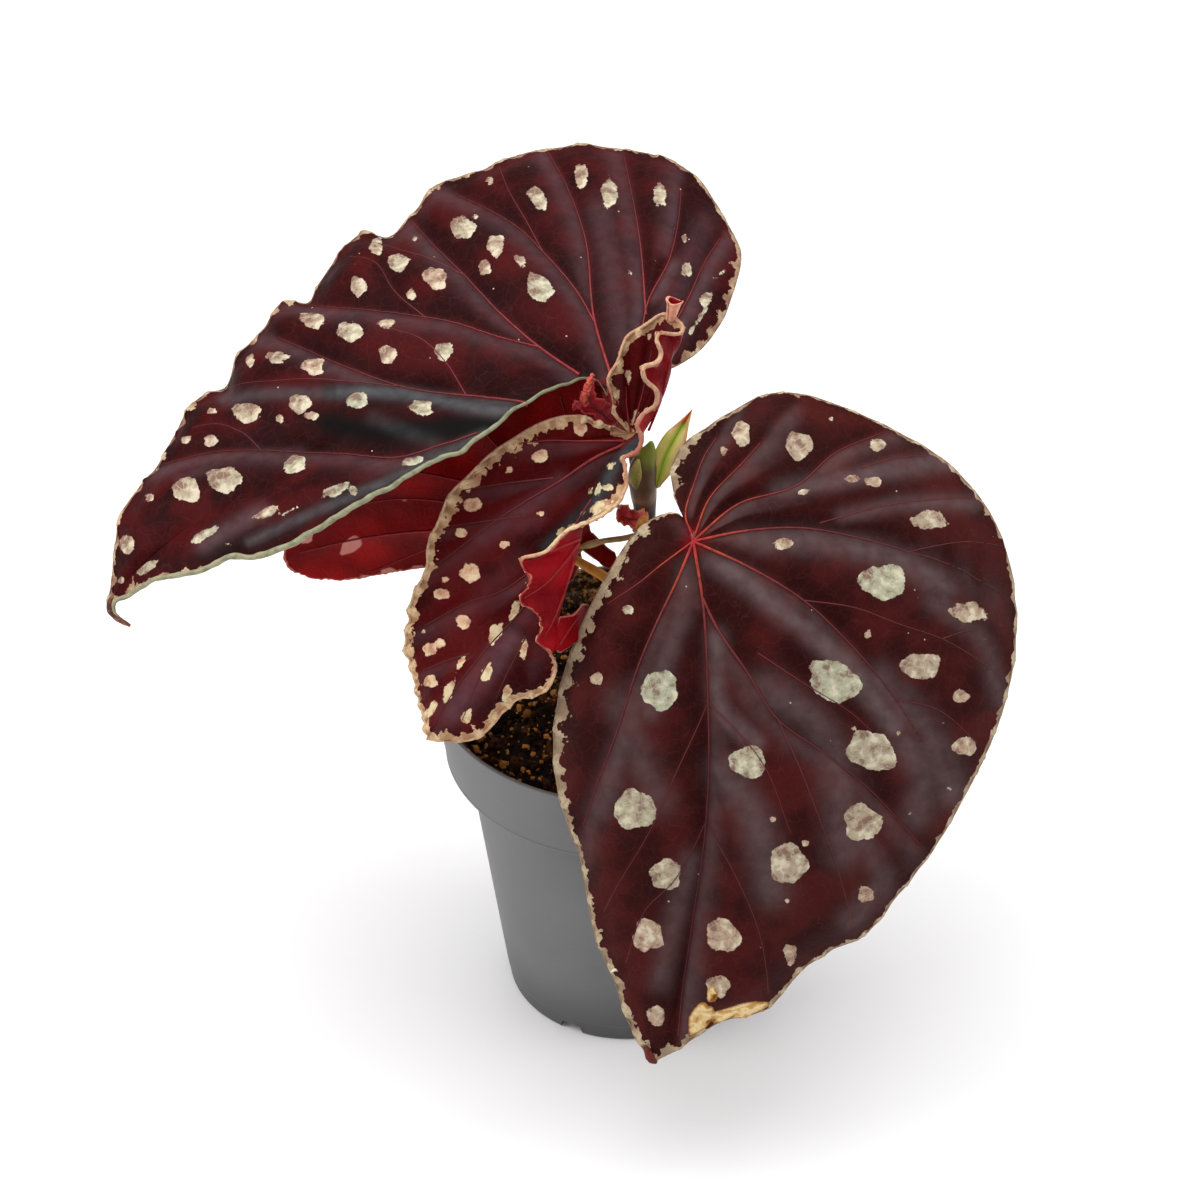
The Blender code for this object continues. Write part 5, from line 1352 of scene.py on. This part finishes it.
petioles = [
    ("upper_left_stalk", "upper_left_petiole", upper_left_leaf, upper_left_spine[0], 1.6, red_petiole,
     [(2.3, 640, 480, 27.0), (2.1, 634, 452, 26.0), (2.0, 622, 424, 28.0)]),
    ("front_stalk", "front_petiole", front_leaf, front_spine[0], 1.7, red_petiole,
     [(2.4, 643, 540, 16.0), (2.2, 655, 552, 28.0), (2.1, 673, 556, 44.0)]),
    ("centre_stalk", "centre_petiole", centre_leaf, centre_spine[0], 1.4, red_petiole,
     [(1.9, 646, 474, 33.0), (1.8, 640, 458, 35.0)]),
    ("back_left_stalk", "back_left_petiole", back_leaf, back_spine[0], 1.2, ochre_petiole,
     [(2.0, 645, 616, 0.0), (1.8, 624, 598, 8.0), (1.6, 606, 578, 16.0)]),
]
for name, node, leaf, base, end_width, skin, rows in petioles:
    stand_for(stalks(name, [seated(rows, base, leaf, end_width)], skin, sides=20, bump=0.3), node)

shoot_rows = [
    (1.0, 642, 534, 22.0), (0.9, 625, 538, 22.5), (0.9, 604, 541, 22.0), (1.1, 588, 545, 20.0),
    (0.5, 580, 547, 19.0),
]
shoot = stalks("pale_side_stalk", [on_path(shoot_rows, 40)], pale_stalk, sides=16, bump=0.3)
stand_for(shoot, "side_shoot")

# %% [markdown]
# ## Stipule, unfolding bud and bract
# A thin yellow-green stipule with a red bristle and a dark red ruffled bract grow at the node. A
# knobbly coral bud, a leaf about to unfold, lies in the hollow under the upper left leaf. They are
# small blades with their own skins, because the blade builder gives their thin, crimped edges.

# %% Small leaf materials
def soft_skin(name, middle, side, rim_colour, spread, knob=0.0):
    """Thin young tissue: its colour goes from the middle to the rim, broken up by fine and broad noise."""
    material, tree, shader = finish_material(name)
    place = add(tree, "ShaderNodeTexCoord", out="Object")
    vein = add(tree, STORED, out="Fac", attribute_name="vein")
    edge = add(tree, STORED, out="Fac", attribute_name="edge")
    fine = add(tree, NOISE, {"Vector": place, "Scale": PER_MM / 1.2, "Detail": 4.0}, "Fac")
    broad = add(tree, NOISE, {"Vector": place, "Scale": PER_MM / 4.0, "Detail": 2.0}, "Fac")
    beside = add(tree, STEP, (vein, 0.0, spread), **SMOOTH)
    colour = add(tree, MIX, (beside, middle, side), **COLOURS)
    rim = add(tree, MATH, (fine, 0.8, edge), **TIMES_PLUS)
    at_rim = add(tree, STEP, (rim, 0.8, 1.5, 1.0, 0.0), **SMOOTH)
    colour = add(tree, MIX, (at_rim, colour, rim_colour), **COLOURS)
    patchy = add(tree, STEP, (broad, 0.4, 0.6, 0.0, 0.35), **SMOOTH)
    colour = add(tree, MIX, (patchy, colour, middle), **COLOURS)
    rough = add(tree, STEP, (fine, 0.3, 0.7, 0.35, 0.5), **SMOOTH)
    coat(tree, shader, colour, rough, 0.3, fine, 0.3 + knob, 0.0004)
    return material


# The stipule's yellow-green is its own, pushed very pale and bright to paint the light that shines through its
# thin tissue
green_skin = soft_skin("yellow-green stipule skin", "#b4e430", "#fff49a", "#ffc490", 2.0)
coral_skin = soft_skin("coral bud skin", "#7c0c18", "#9c1822", "#c03a3a", 1.5, knob=0.4)
bract_skin = soft_skin("dark red bract skin", "#9a1a20", "#c02c30", "#d07a40", 1.8, knob=0.4)

# %% Small leaves
small = {"thickness": 0.5, "spots": [], "sheen": [], "vein_skin": vein_red, "bold": 0.15}
stipule_spine = [(656, 489, 30), (663, 462, 33), (677, 434, 36), (685, 420, 38), (692, 410, 39)]
stipule_right = [
    (0, 0, 660, 487, 31), (0.25, 1, 676, 466, 34), (0.5, 1, 686, 441, 37), (0.74, 0, 689, 424, 38.5),
    (1, 0, 692, 410, 39),
]
stipule_left = [
    (0, 0, 653, 486, 31), (0.25, 1, 655, 452, 34), (0.5, 1, 668, 431, 37), (0.74, 0, 682, 419, 38.5),
    (1, 0, 692, 410, 39),
]
stem_green = ridge_skin("green stripe", [(0.0, "#a8b848"), (0.5, "#8ab030"), (1.0, "#9cb83c")], "#b8cc58")
stipule = blade("pointed_stipule", stipule_spine, stipule_right, stipule_left, {
    **small, "grain": 0.3, "jag": 0.03, "ruffle": (0.1, 5.0, 2.0), "pleat": -0.2, "uneven": 0.05,
    "veins": [(0.16, 0.08, [(657, 487), (664, 462), (677, 434), (685, 421)])], "vein_skin": stem_green,
    "band": [
        (690, 420, 1.6), (688, 440, 0.9), (670, 475, 0.5), (656, 489, 1.6), (655, 452, 0.5), (668, 431, 0.7),
    ],
    "top": green_skin, "under": green_skin})
spike_skin = ridge_skin("red bristle", [(0.0, "#d0583a"), (0.5, "#b83a2c"), (1.0, "#942a28")], "#a03028")
bristle = [(0.55, 683, 423, 38.0), (0.35, 687, 417, 38.6), (0.12, 692, 409.5, 39.0)]
join(stipule, stalks("stipule_bristle", [on_path(bristle, 14)], spike_skin, sides=10))
stand_for(stipule, "green_stipule")

coral_spine = [(614, 426, 38), (600, 411, 44), (590, 400, 49), (588, 388, 52), (592, 375, 54)]
coral_right = [
    (0, 0, 620, 420, 38), (0.25, 0, 611, 407, 42), (0.45, 0, 604, 400, 46), (0.62, 0, 595, 393, 50),
    (0.8, 0, 594, 383, 53), (1, 0, 592, 375, 54),
]
coral_left = [
    (0, 0, 606, 430, 39), (0.25, 0, 590, 415, 46), (0.42, 0, 571, 405, 47), (0.58, 0, 579, 399, 50),
    (0.8, 0, 584, 387, 53), (1, 0, 592, 375, 54),
]
coral = blade("coral_unfolding_bud", coral_spine, coral_right, coral_left, {
    **small, "grain": 0.28, "jag": 0.45, "ruffle": (0.8, 2.6, 3.5), "pleat": 0.9, "uneven": 0.5,
    "veins": [(0.3, 0.12, [(611, 420), (600, 411), (590, 400), (588, 388)])],
    "band": [(590, 395, 0.8)], "top": coral_skin, "under": coral_skin})
knobs = [
    (0.7, 587, 405, 50), (1.1, 584, 398, 51.5), (1.05, 586, 391, 53), (0.8, 589, 383, 54.2),
    (0.3, 592, 374, 54.8),
]
knob_skin = ridge_skin("knobbly coral bud", [
    (0.0, "#6e1018"), (0.4, "#982c26"), (1.0, "#c04e3e")], "#cc5e4a", 1.2)
join(coral, stalks("knobbly_bud", [on_path(knobs, 90)], knob_skin, sides=48, bump=2.2, bump_size=0.9))
stand_for(coral, "coral_bud")

bract_spine = [(644, 518, 30), (632, 520, 32), (622, 516, 33), (617, 509, 33)]
bract_lower = [
    (0, 0, 645, 525, 29), (0.3, 0, 638, 529, 33), (0.6, 0, 627, 526, 31), (0.85, 0, 617, 521, 34),
    (1, 0, 617, 509, 33),
]
bract_upper = [
    (0, 0, 645, 508, 30), (0.3, 0, 636, 510, 33), (0.6, 0, 628, 506, 31), (0.85, 0, 621, 505, 34),
    (1, 0, 617, 509, 33),
]
bract = blade("ruffled_bract", bract_spine, bract_upper, bract_lower, {
    **small, "grain": 0.28, "jag": 0.5, "ruffle": (0.9, 3.0, 2.5), "pleat": 0.5, "uneven": 0.3,
    "veins": [(0.25, 0.1, [(643, 518), (632, 520), (622, 516)])],
    "band": [(630, 518, 0.8)], "top": bract_skin, "under": bract_skin})
point_skin = ridge_skin("golden bract point", [
    (0.0, "#c8582e"), (0.5, "#dca050"), (1.0, "#b86a30")], "#a8482a", 1.2)
point = [(0.4, 647, 512, 32.5), (1.3, 644, 519, 33.5), (1.3, 639, 526, 33.5), (0.4, 633, 531, 32.5)]
join(bract, stalks("bract_point", [on_path(point, 24)], point_skin, sides=16, bump=0.8, bump_size=1.6))
stand_for(bract, "red_bract")

# %% [markdown]
# ## Nursery pot
# The pot is moulded grey plastic: a matt skin, a rounded lip, a band 25 mm high with
# a fine bead at its lower edge, and a foot with six notches. It is the one main piece that
# follows a rule, so Geometry Nodes turn its outline round the axis and cut the notches. The
# drain holes in the CAD part's floor can't be seen on a standing pot and are not cut here.

# %% Pot outline
LIP_RADIUS = 60.0
POT_HEIGHT = 117.0
WALL = 1.5
BAND_BOTTOM = POT_HEIGHT - 25.0
SUPPORT = 0.35


def rounded_outline(corners):
    """Outline with each corner rounded: corners are radius, height and rounding, in mm."""
    outline = [corners[0][:2]]
    for before, corner, after in zip(corners, corners[1:], corners[2:]):
        point, size = np.array(corner[:2]), corner[2]
        back, ahead = np.array(before[:2]) - point, np.array(after[:2]) - point
        reach = min(size, 0.4 * np.linalg.norm(back), 0.4 * np.linalg.norm(ahead))
        start, end = point + back / np.linalg.norm(back) * reach, point + ahead / np.linalg.norm(ahead) * reach
        if np.linalg.norm(back) > 3 * SUPPORT + reach:
            outline.append(tuple(start + back / np.linalg.norm(back) * SUPPORT))
        for t in (0.0, 0.33, 0.67, 1.0):
            outline.append(tuple((1 - t) ** 2 * start + 2 * t * (1 - t) * point + t * t * end))
        if np.linalg.norm(ahead) > 3 * SUPPORT + reach:
            outline.append(tuple(end + ahead / np.linalg.norm(ahead) * SUPPORT))
    outline.append(corners[-1][:2])
    return outline


pot_corners = [
    (0.0, 5.5, 0), (36.0, 5.5, 1.0), (48.6, BAND_BOTTOM + 1.1, 0.3), (49.4, BAND_BOTTOM + 1.5, 0.3),
    (54.2, BAND_BOTTOM + 1.5, 0.8), (57.2, POT_HEIGHT - 8.0, 0.3), (57.9, POT_HEIGHT - 7.4, 0.3),
    (57.7, POT_HEIGHT - 3.4, 0.3), (58.3, POT_HEIGHT - 2.8, 0.3), (58.2, POT_HEIGHT - 0.5, 0.3),
    (58.8, POT_HEIGHT, 0.5), (60.0, POT_HEIGHT, 0.6), (59.75, POT_HEIGHT - 2.2, 0.3),
    (56.4, BAND_BOTTOM + 1.2, 0.2), (56.6, BAND_BOTTOM + 0.8, 0.2), (56.3, BAND_BOTTOM, 0.3),
    (50.6, BAND_BOTTOM, 0.5), (50.0, BAND_BOTTOM - 0.6, 0.3), (38.5, 6.6, 0.2), (38.2, 6.0, 0.3),
    (37.5, 0.8, 0.5), (36.9, 0.0, 0.3), (34.6, 0.0, 0.4), (34.6, 4.0, 0.4), (11.0, 4.0, 0.4),
    (9.0, 0.0, 0.4), (0.0, 0.0, 0),
]
pot_outline = rounded_outline(pot_corners)
print("pot outline points:", len(pot_outline))

# %% Pot material
plastic, tree, shader = finish_material("matt grey polypropylene")
# Moulded plastic with a fine matt grain of about 0.5 mm, faint scuffs and peat marks inside. The lowest 30 mm
# get painted shade, because the floor's own shade leaves the foot too light.
place = add(tree, "ShaderNodeTexCoord", out="Object")
inside = add(tree, STORED, out="Fac", attribute_name="inside")
clouds = add(tree, NOISE, {"Vector": place, "Scale": PER_MM / 30, "Detail": 4.0}, "Fac")
grit = add(tree, NOISE, {"Vector": place, "Scale": PER_MM / 0.5, "Detail": 3.0}, "Fac")
scuffs = add(tree, NOISE, {"Vector": place, "Scale": PER_MM / 6, "Detail": 6.0, "Roughness": 0.7}, "Fac")
up = add(tree, "ShaderNodeSeparateXYZ", {0: place}, "Z")
crumbs = add(tree, NOISE, {"Vector": place, "Scale": PER_MM / 2.2, "Detail": 4.0, "Roughness": 0.7}, "Fac")
cloudy = add(tree, STEP, (clouds, 0.3, 0.7), **SMOOTH)
colour = add(tree, MIX, (cloudy, "#636363", "#6d6d6d"), **COLOURS)
scuffed = add(tree, STEP, (scuffs, 0.62, 0.72, 0.0, 0.25), **SMOOTH)
colour = add(tree, MIX, (scuffed, colour, "#525252"), **COLOURS)
# Painted shade over the lowest 30 mm of the pot
painted_foot_shade = add(tree, STEP, (up, 0.0, 0.03, 0.7, 0.0), **SMOOTH)
colour = add(tree, MIX, (painted_foot_shade, colour, "#404040"), **COLOURS)
gritty = add(tree, STEP, (grit, 0.3, 0.7, 0.12, 0.0), **SMOOTH)
colour = add(tree, MIX, (gritty, colour, "#4c4c4c"), **COLOURS)
marks = add(tree, STEP, (scuffs, 0.4, 0.6), **SMOOTH)
peaty = add(tree, MIX, (marks, "#160e08", "#38261a"), **COLOURS)
crumbly = add(tree, STEP, (crumbs, 0.52, 0.62, 0.0, 0.9), **SMOOTH)
peaty = add(tree, MIX, (crumbly, peaty, "#a87a3e"), **COLOURS)
colour = add(tree, MIX, (inside, colour, peaty), **COLOURS)
rough = add(tree, STEP, (clouds, 0.3, 0.7, 0.46, 0.58), **SMOOTH)
coat(tree, shader, colour, rough, 0.4, grit, 0.25, 0.0001)

# %% Geometry Nodes: turned pot with notches
AXIS_RADIUS = 0.01
pot_tree, pot_in, pot_out = new_tree("turned pot with notches", [
    ("Turn steps", "NodeSocketInt", 180), ("Axis radius", "NodeSocketFloat", AXIS_RADIUS),
    ("Notches", "NodeSocketInt", 6), ("First notch angle", "NodeSocketFloat", math.radians(-117.5)),
    ("Notch radius", "NodeSocketFloat", 0.0365), ("Notch block", "NodeSocketObject", None),
    ("Material", "NodeSocketMaterial", None)])
outline_curve = add(pot_tree, "GeometryNodeMeshToCurve", {"Mesh": pot_in})
turn_ring = add(pot_tree, "GeometryNodeCurvePrimitiveCircle", {
    "Resolution": pot_in.outputs["Turn steps"], "Radius": pot_in.outputs["Axis radius"]})
turned = add(pot_tree, "GeometryNodeCurveToMesh", {"Curve": turn_ring, "Profile Curve": outline_curve})
closed = add(pot_tree, "GeometryNodeMergeByDistance", {"Geometry": turned, "Distance": 0.00002})
notch_ring = add(pot_tree, "GeometryNodeMeshCircle", {
    "Vertices": pot_in.outputs["Notches"], "Radius": pot_in.outputs["Notch radius"]})
first_angle = add(pot_tree, "ShaderNodeCombineXYZ", {"Z": pot_in.outputs["First notch angle"]})
notch_points = add(pot_tree, "GeometryNodeTransform", {"Geometry": notch_ring, "Rotation": first_angle})
block = add(pot_tree, "GeometryNodeObjectInfo", {"Object": pot_in.outputs["Notch block"]})
outward = add(pot_tree, "GeometryNodeInputPosition")
facing_out = add(pot_tree, "FunctionNodeAlignRotationToVector", {"Vector": outward}, axis="X", pivot_axis="Z")
blocks = add(pot_tree, "GeometryNodeInstanceOnPoints", {
    "Points": notch_points, "Instance": block.outputs["Geometry"], "Rotation": facing_out})
cutters = add(pot_tree, "GeometryNodeRealizeInstances", {"Geometry": blocks})
notched = add(pot_tree, "GeometryNodeMeshBoolean", {
    "Mesh 1": closed, "Mesh 2": cutters}, operation="DIFFERENCE")
soft = add(pot_tree, "GeometryNodeSetShadeSmooth", {"Geometry": notched, "Shade Smooth": True})
plain = add(pot_tree, "GeometryNodeRealizeInstances", {"Geometry": soft})
coated = add(pot_tree, "GeometryNodeSetMaterial", {"Geometry": plain, "Material": pot_in.outputs["Material"]})
pot_tree.links.new(coated.outputs["Geometry"], pot_out.inputs["Geometry"])

# %% Pot
block_mesh = bpy.data.meshes.new("notch_block")
block_corners = [(x * MM, y * w * MM, z * MM) for x in (-4.5, 4.5) for y, w, z in (
    (-1, 4.5, -1.0), (1, 4.5, -1.0), (1, 3.1, 3.4), (-1, 3.1, 3.4))]
block_sides = [(0, 1, 2, 3), (7, 6, 5, 4), (0, 4, 5, 1), (1, 5, 6, 2), (2, 6, 7, 3), (3, 7, 4, 0)]
block_mesh.from_pydata(block_corners, [], block_sides)
notch_block = stood("notch_block", block_mesh)
outline_mesh = bpy.data.meshes.new("pot_outline")
outline_mesh.from_pydata([(r * MM - AXIS_RADIUS, -z * MM, 0) for r, z in pot_outline],
                         [(i, i + 1) for i in range(len(pot_outline) - 1)], [])
lip_off = [abs(radius - 58.8) + abs(height - POT_HEIGHT) for radius, height in pot_outline]
lip_at = lip_off.index(min(lip_off))
store(outline_mesh, "inside", [1.0 if i <= lip_at else 0.0 for i in range(len(pot_outline))])
pot = grown(pot_tree, "moulded_pot", outline_mesh, {"Notch block": notch_block, "Material": plastic})
bpy.data.objects.remove(notch_block, do_unlink=True)
stand_for(pot, "pot")

# %% [markdown]
# ## Peat
# The pot is filled with peat: a dark, open, lumpy mass with orange-brown crumbs and fibres of 1 to
# 4 mm. A lumpy surface gives the mass, and Geometry Nodes scatter a few thousand crumbs over it,
# each a plain lump of 20 faces, because a heap of them is what reads as peat.

# %% Peat materials
peat, tree, shader = finish_material("damp brown peat")
place = add(tree, "ShaderNodeTexCoord", out="Object")
stored_tone = add(tree, STORED, out="Fac", attribute_name="tone")
lumps = add(tree, NOISE, {"Vector": place, "Scale": PER_MM / 3.0, "Detail": 5.0, "Roughness": 0.7}, "Fac")
tone = add(tree, MATH, (lumps, 0.5, stored_tone), **TIMES_PLUS)
colour = add(tree, RAMP, {"Fac": tone}, "Color", stops=[
    (0.2, "#0c0704"), (0.6, "#1e1109"), (0.82, "#4a2b14"), (0.93, "#8a5626"), (1.0, "#b07a3a")])
rough = add(tree, STEP, (lumps, 0.3, 0.7, 0.7, 0.95), **SMOOTH)
coat(tree, shader, colour, rough, 0.08, lumps, 0.8, 0.0008)

# %% Peat body
SOIL_LEVEL = 106.0
SOIL_CROWN = 2.0
soil_rim = LIP_RADIUS - WALL - 0.6 - (POT_HEIGHT - SOIL_LEVEL) * 0.14 - 0.5
TURN_STEPS = 240
radii = np.linspace(0.0, soil_rim, 46)[1:]
heights = np.interp(radii, [0.0, 20.0, 42.0, soil_rim - 2.5, soil_rim], [
    SOIL_LEVEL + SOIL_CROWN, SOIL_LEVEL + SOIL_CROWN * 0.8, SOIL_LEVEL + 0.4,
    SOIL_LEVEL - 0.6, SOIL_LEVEL - 1.4])
rings = [(r, z, 1.0) for r, z in zip(radii, heights)]
rings += [(54.2, BAND_BOTTOM + 3.6, 0.0), (48.0, BAND_BOTTOM + 2.4, 0.0), (36.4, 7.2, 0.0), (35.4, 6.0, 0.0)]
turn = np.linspace(0, 2 * math.pi, TURN_STEPS, endpoint=False)
ring_points = [[(r * math.cos(a), r * math.sin(a), z) for a in turn] for r, z, _ in rings]
ring_points = np.array(ring_points).reshape(-1, 3)
loose = np.repeat([rough for _, _, rough in rings], TURN_STEPS)
lump = 0.9 * waves(ring_points, 11.0, 31) + 0.7 * waves(ring_points, 5.0, 32)
lump += 0.5 * waves(ring_points, 2.6, 33)
ring_points[:, 2] += lump * loose * 0.9
soil_points = np.vstack([ring_points, [(0, 0, SOIL_LEVEL + SOIL_CROWN), (0, 0, 6.0)]])
soil_faces = []
for i in range(len(rings) - 1):
    for k in range(TURN_STEPS):
        a, b = i * TURN_STEPS + k, i * TURN_STEPS + (k + 1) % TURN_STEPS
        soil_faces.append((a, a + TURN_STEPS, b + TURN_STEPS, b))
top_pole, bottom_pole = len(ring_points), len(ring_points) + 1
last = (len(rings) - 1) * TURN_STEPS
for k in range(TURN_STEPS):
    soil_faces.append((top_pole, k, (k + 1) % TURN_STEPS))
    soil_faces.append((bottom_pole, last + (k + 1) % TURN_STEPS, last + k))
soil_mesh = bpy.data.meshes.new("peat")
soil_mesh.from_pydata((soil_points * MM).tolist(), [], soil_faces)
store(soil_mesh, "tone", np.append(0.25 + 0.25 * np.clip(lump, -1, 1), [0.2, 0.2]))
store(soil_mesh, "crumbs", np.append(loose, [1.0, 0.0]))
soil_mesh.materials.append(peat)
soil_mesh.polygons.foreach_set("use_smooth", np.ones(len(soil_mesh.polygons), bool))

# %% Geometry Nodes: scattered crumbs
crumb_tree, crumb_in, crumb_out = new_tree("scattered peat crumbs", [
    ("Density", "NodeSocketFloat", 380000.0), ("Smallest", "NodeSocketFloat", 0.0005),
    ("Largest", "NodeSocketFloat", 0.0019), ("Seed", "NodeSocketInt", 4),
    ("Material", "NodeSocketMaterial", None)])
where = add(crumb_tree, "GeometryNodeInputNamedAttribute", {"Name": "crumbs"})
scatter = add(crumb_tree, "GeometryNodeDistributePointsOnFaces", {
    "Mesh": crumb_in, "Selection": where,
    "Density": crumb_in.outputs["Density"], "Seed": crumb_in.outputs["Seed"]})
lump_shape = add(crumb_tree, "GeometryNodeMeshIcoSphere", {"Radius": 1.0, "Subdivisions": 1})
any_turn = add(crumb_tree, "FunctionNodeRandomValue", {
    0: (0, 0, 0), 1: (6.28, 6.28, 6.28), "Seed": 1}, data_type="FLOAT_VECTOR")
squash_by = add(crumb_tree, "FunctionNodeRandomValue", {
    0: (0.5, 0.5, 0.4), 1: (1.0, 1.0, 1.0), "Seed": 2}, data_type="FLOAT_VECTOR")
draw_size = add(crumb_tree, "FunctionNodeRandomValue", {2: 0.0, 3: 1.0, "Seed": 3}, data_type="FLOAT")
often_small = add(crumb_tree, MATH, (draw_size.outputs[1], 2.5), operation="POWER")
size = add(crumb_tree, STEP, {
    "Value": often_small, "To Min": crumb_in.outputs["Smallest"], "To Max": crumb_in.outputs["Largest"]})
crumb_scale = add(crumb_tree, VECTOR, {0: squash_by, "Scale": size}, operation="SCALE")
placed = add(crumb_tree, "GeometryNodeInstanceOnPoints", {
    "Points": scatter, "Instance": lump_shape,
    "Rotation": any_turn, "Scale": crumb_scale})
draw_tone = add(crumb_tree, "FunctionNodeRandomValue", {2: 0.05, 3: 1.0, "Seed": 5}, data_type="FLOAT")
often_dark = add(crumb_tree, MATH, (draw_tone.outputs[1], 1.3), operation="POWER")
toned = add(crumb_tree, "GeometryNodeStoreNamedAttribute", {
    "Geometry": placed, "Name": "tone", "Value": often_dark}, data_type="FLOAT", domain="INSTANCE")
loose_lumps = add(crumb_tree, "GeometryNodeRealizeInstances", {"Geometry": toned})
knock = add(crumb_tree, NOISE, {"Scale": 900.0, "Detail": 2.0})
middle_grey = (0.5, 0.5, 0.5)
knock_centred = add(crumb_tree, VECTOR, (knock.outputs["Color"], middle_grey), operation="SUBTRACT")
knock_by = add(crumb_tree, VECTOR, {0: knock_centred, "Scale": 0.0012}, operation="SCALE")
knocked = add(crumb_tree, "GeometryNodeSetPosition", {"Geometry": loose_lumps, "Offset": knock_by})
everything = add(crumb_tree, "GeometryNodeJoinGeometry")
crumb_tree.links.new(crumb_in.outputs["Geometry"], everything.inputs[0])
crumb_tree.links.new(knocked.outputs["Geometry"], everything.inputs[0])
all_real = add(crumb_tree, "GeometryNodeRealizeInstances", {"Geometry": everything})
crumb_finish = add(crumb_tree, "GeometryNodeSetMaterial", {
    "Geometry": all_real, "Material": crumb_in.outputs["Material"]})
crumb_tree.links.new(crumb_finish.outputs["Geometry"], crumb_out.inputs["Geometry"])

# %% Peat
soil = grown(crumb_tree, "peat_fill", soil_mesh, {"Material": peat})
stand_for(soil, "soil")
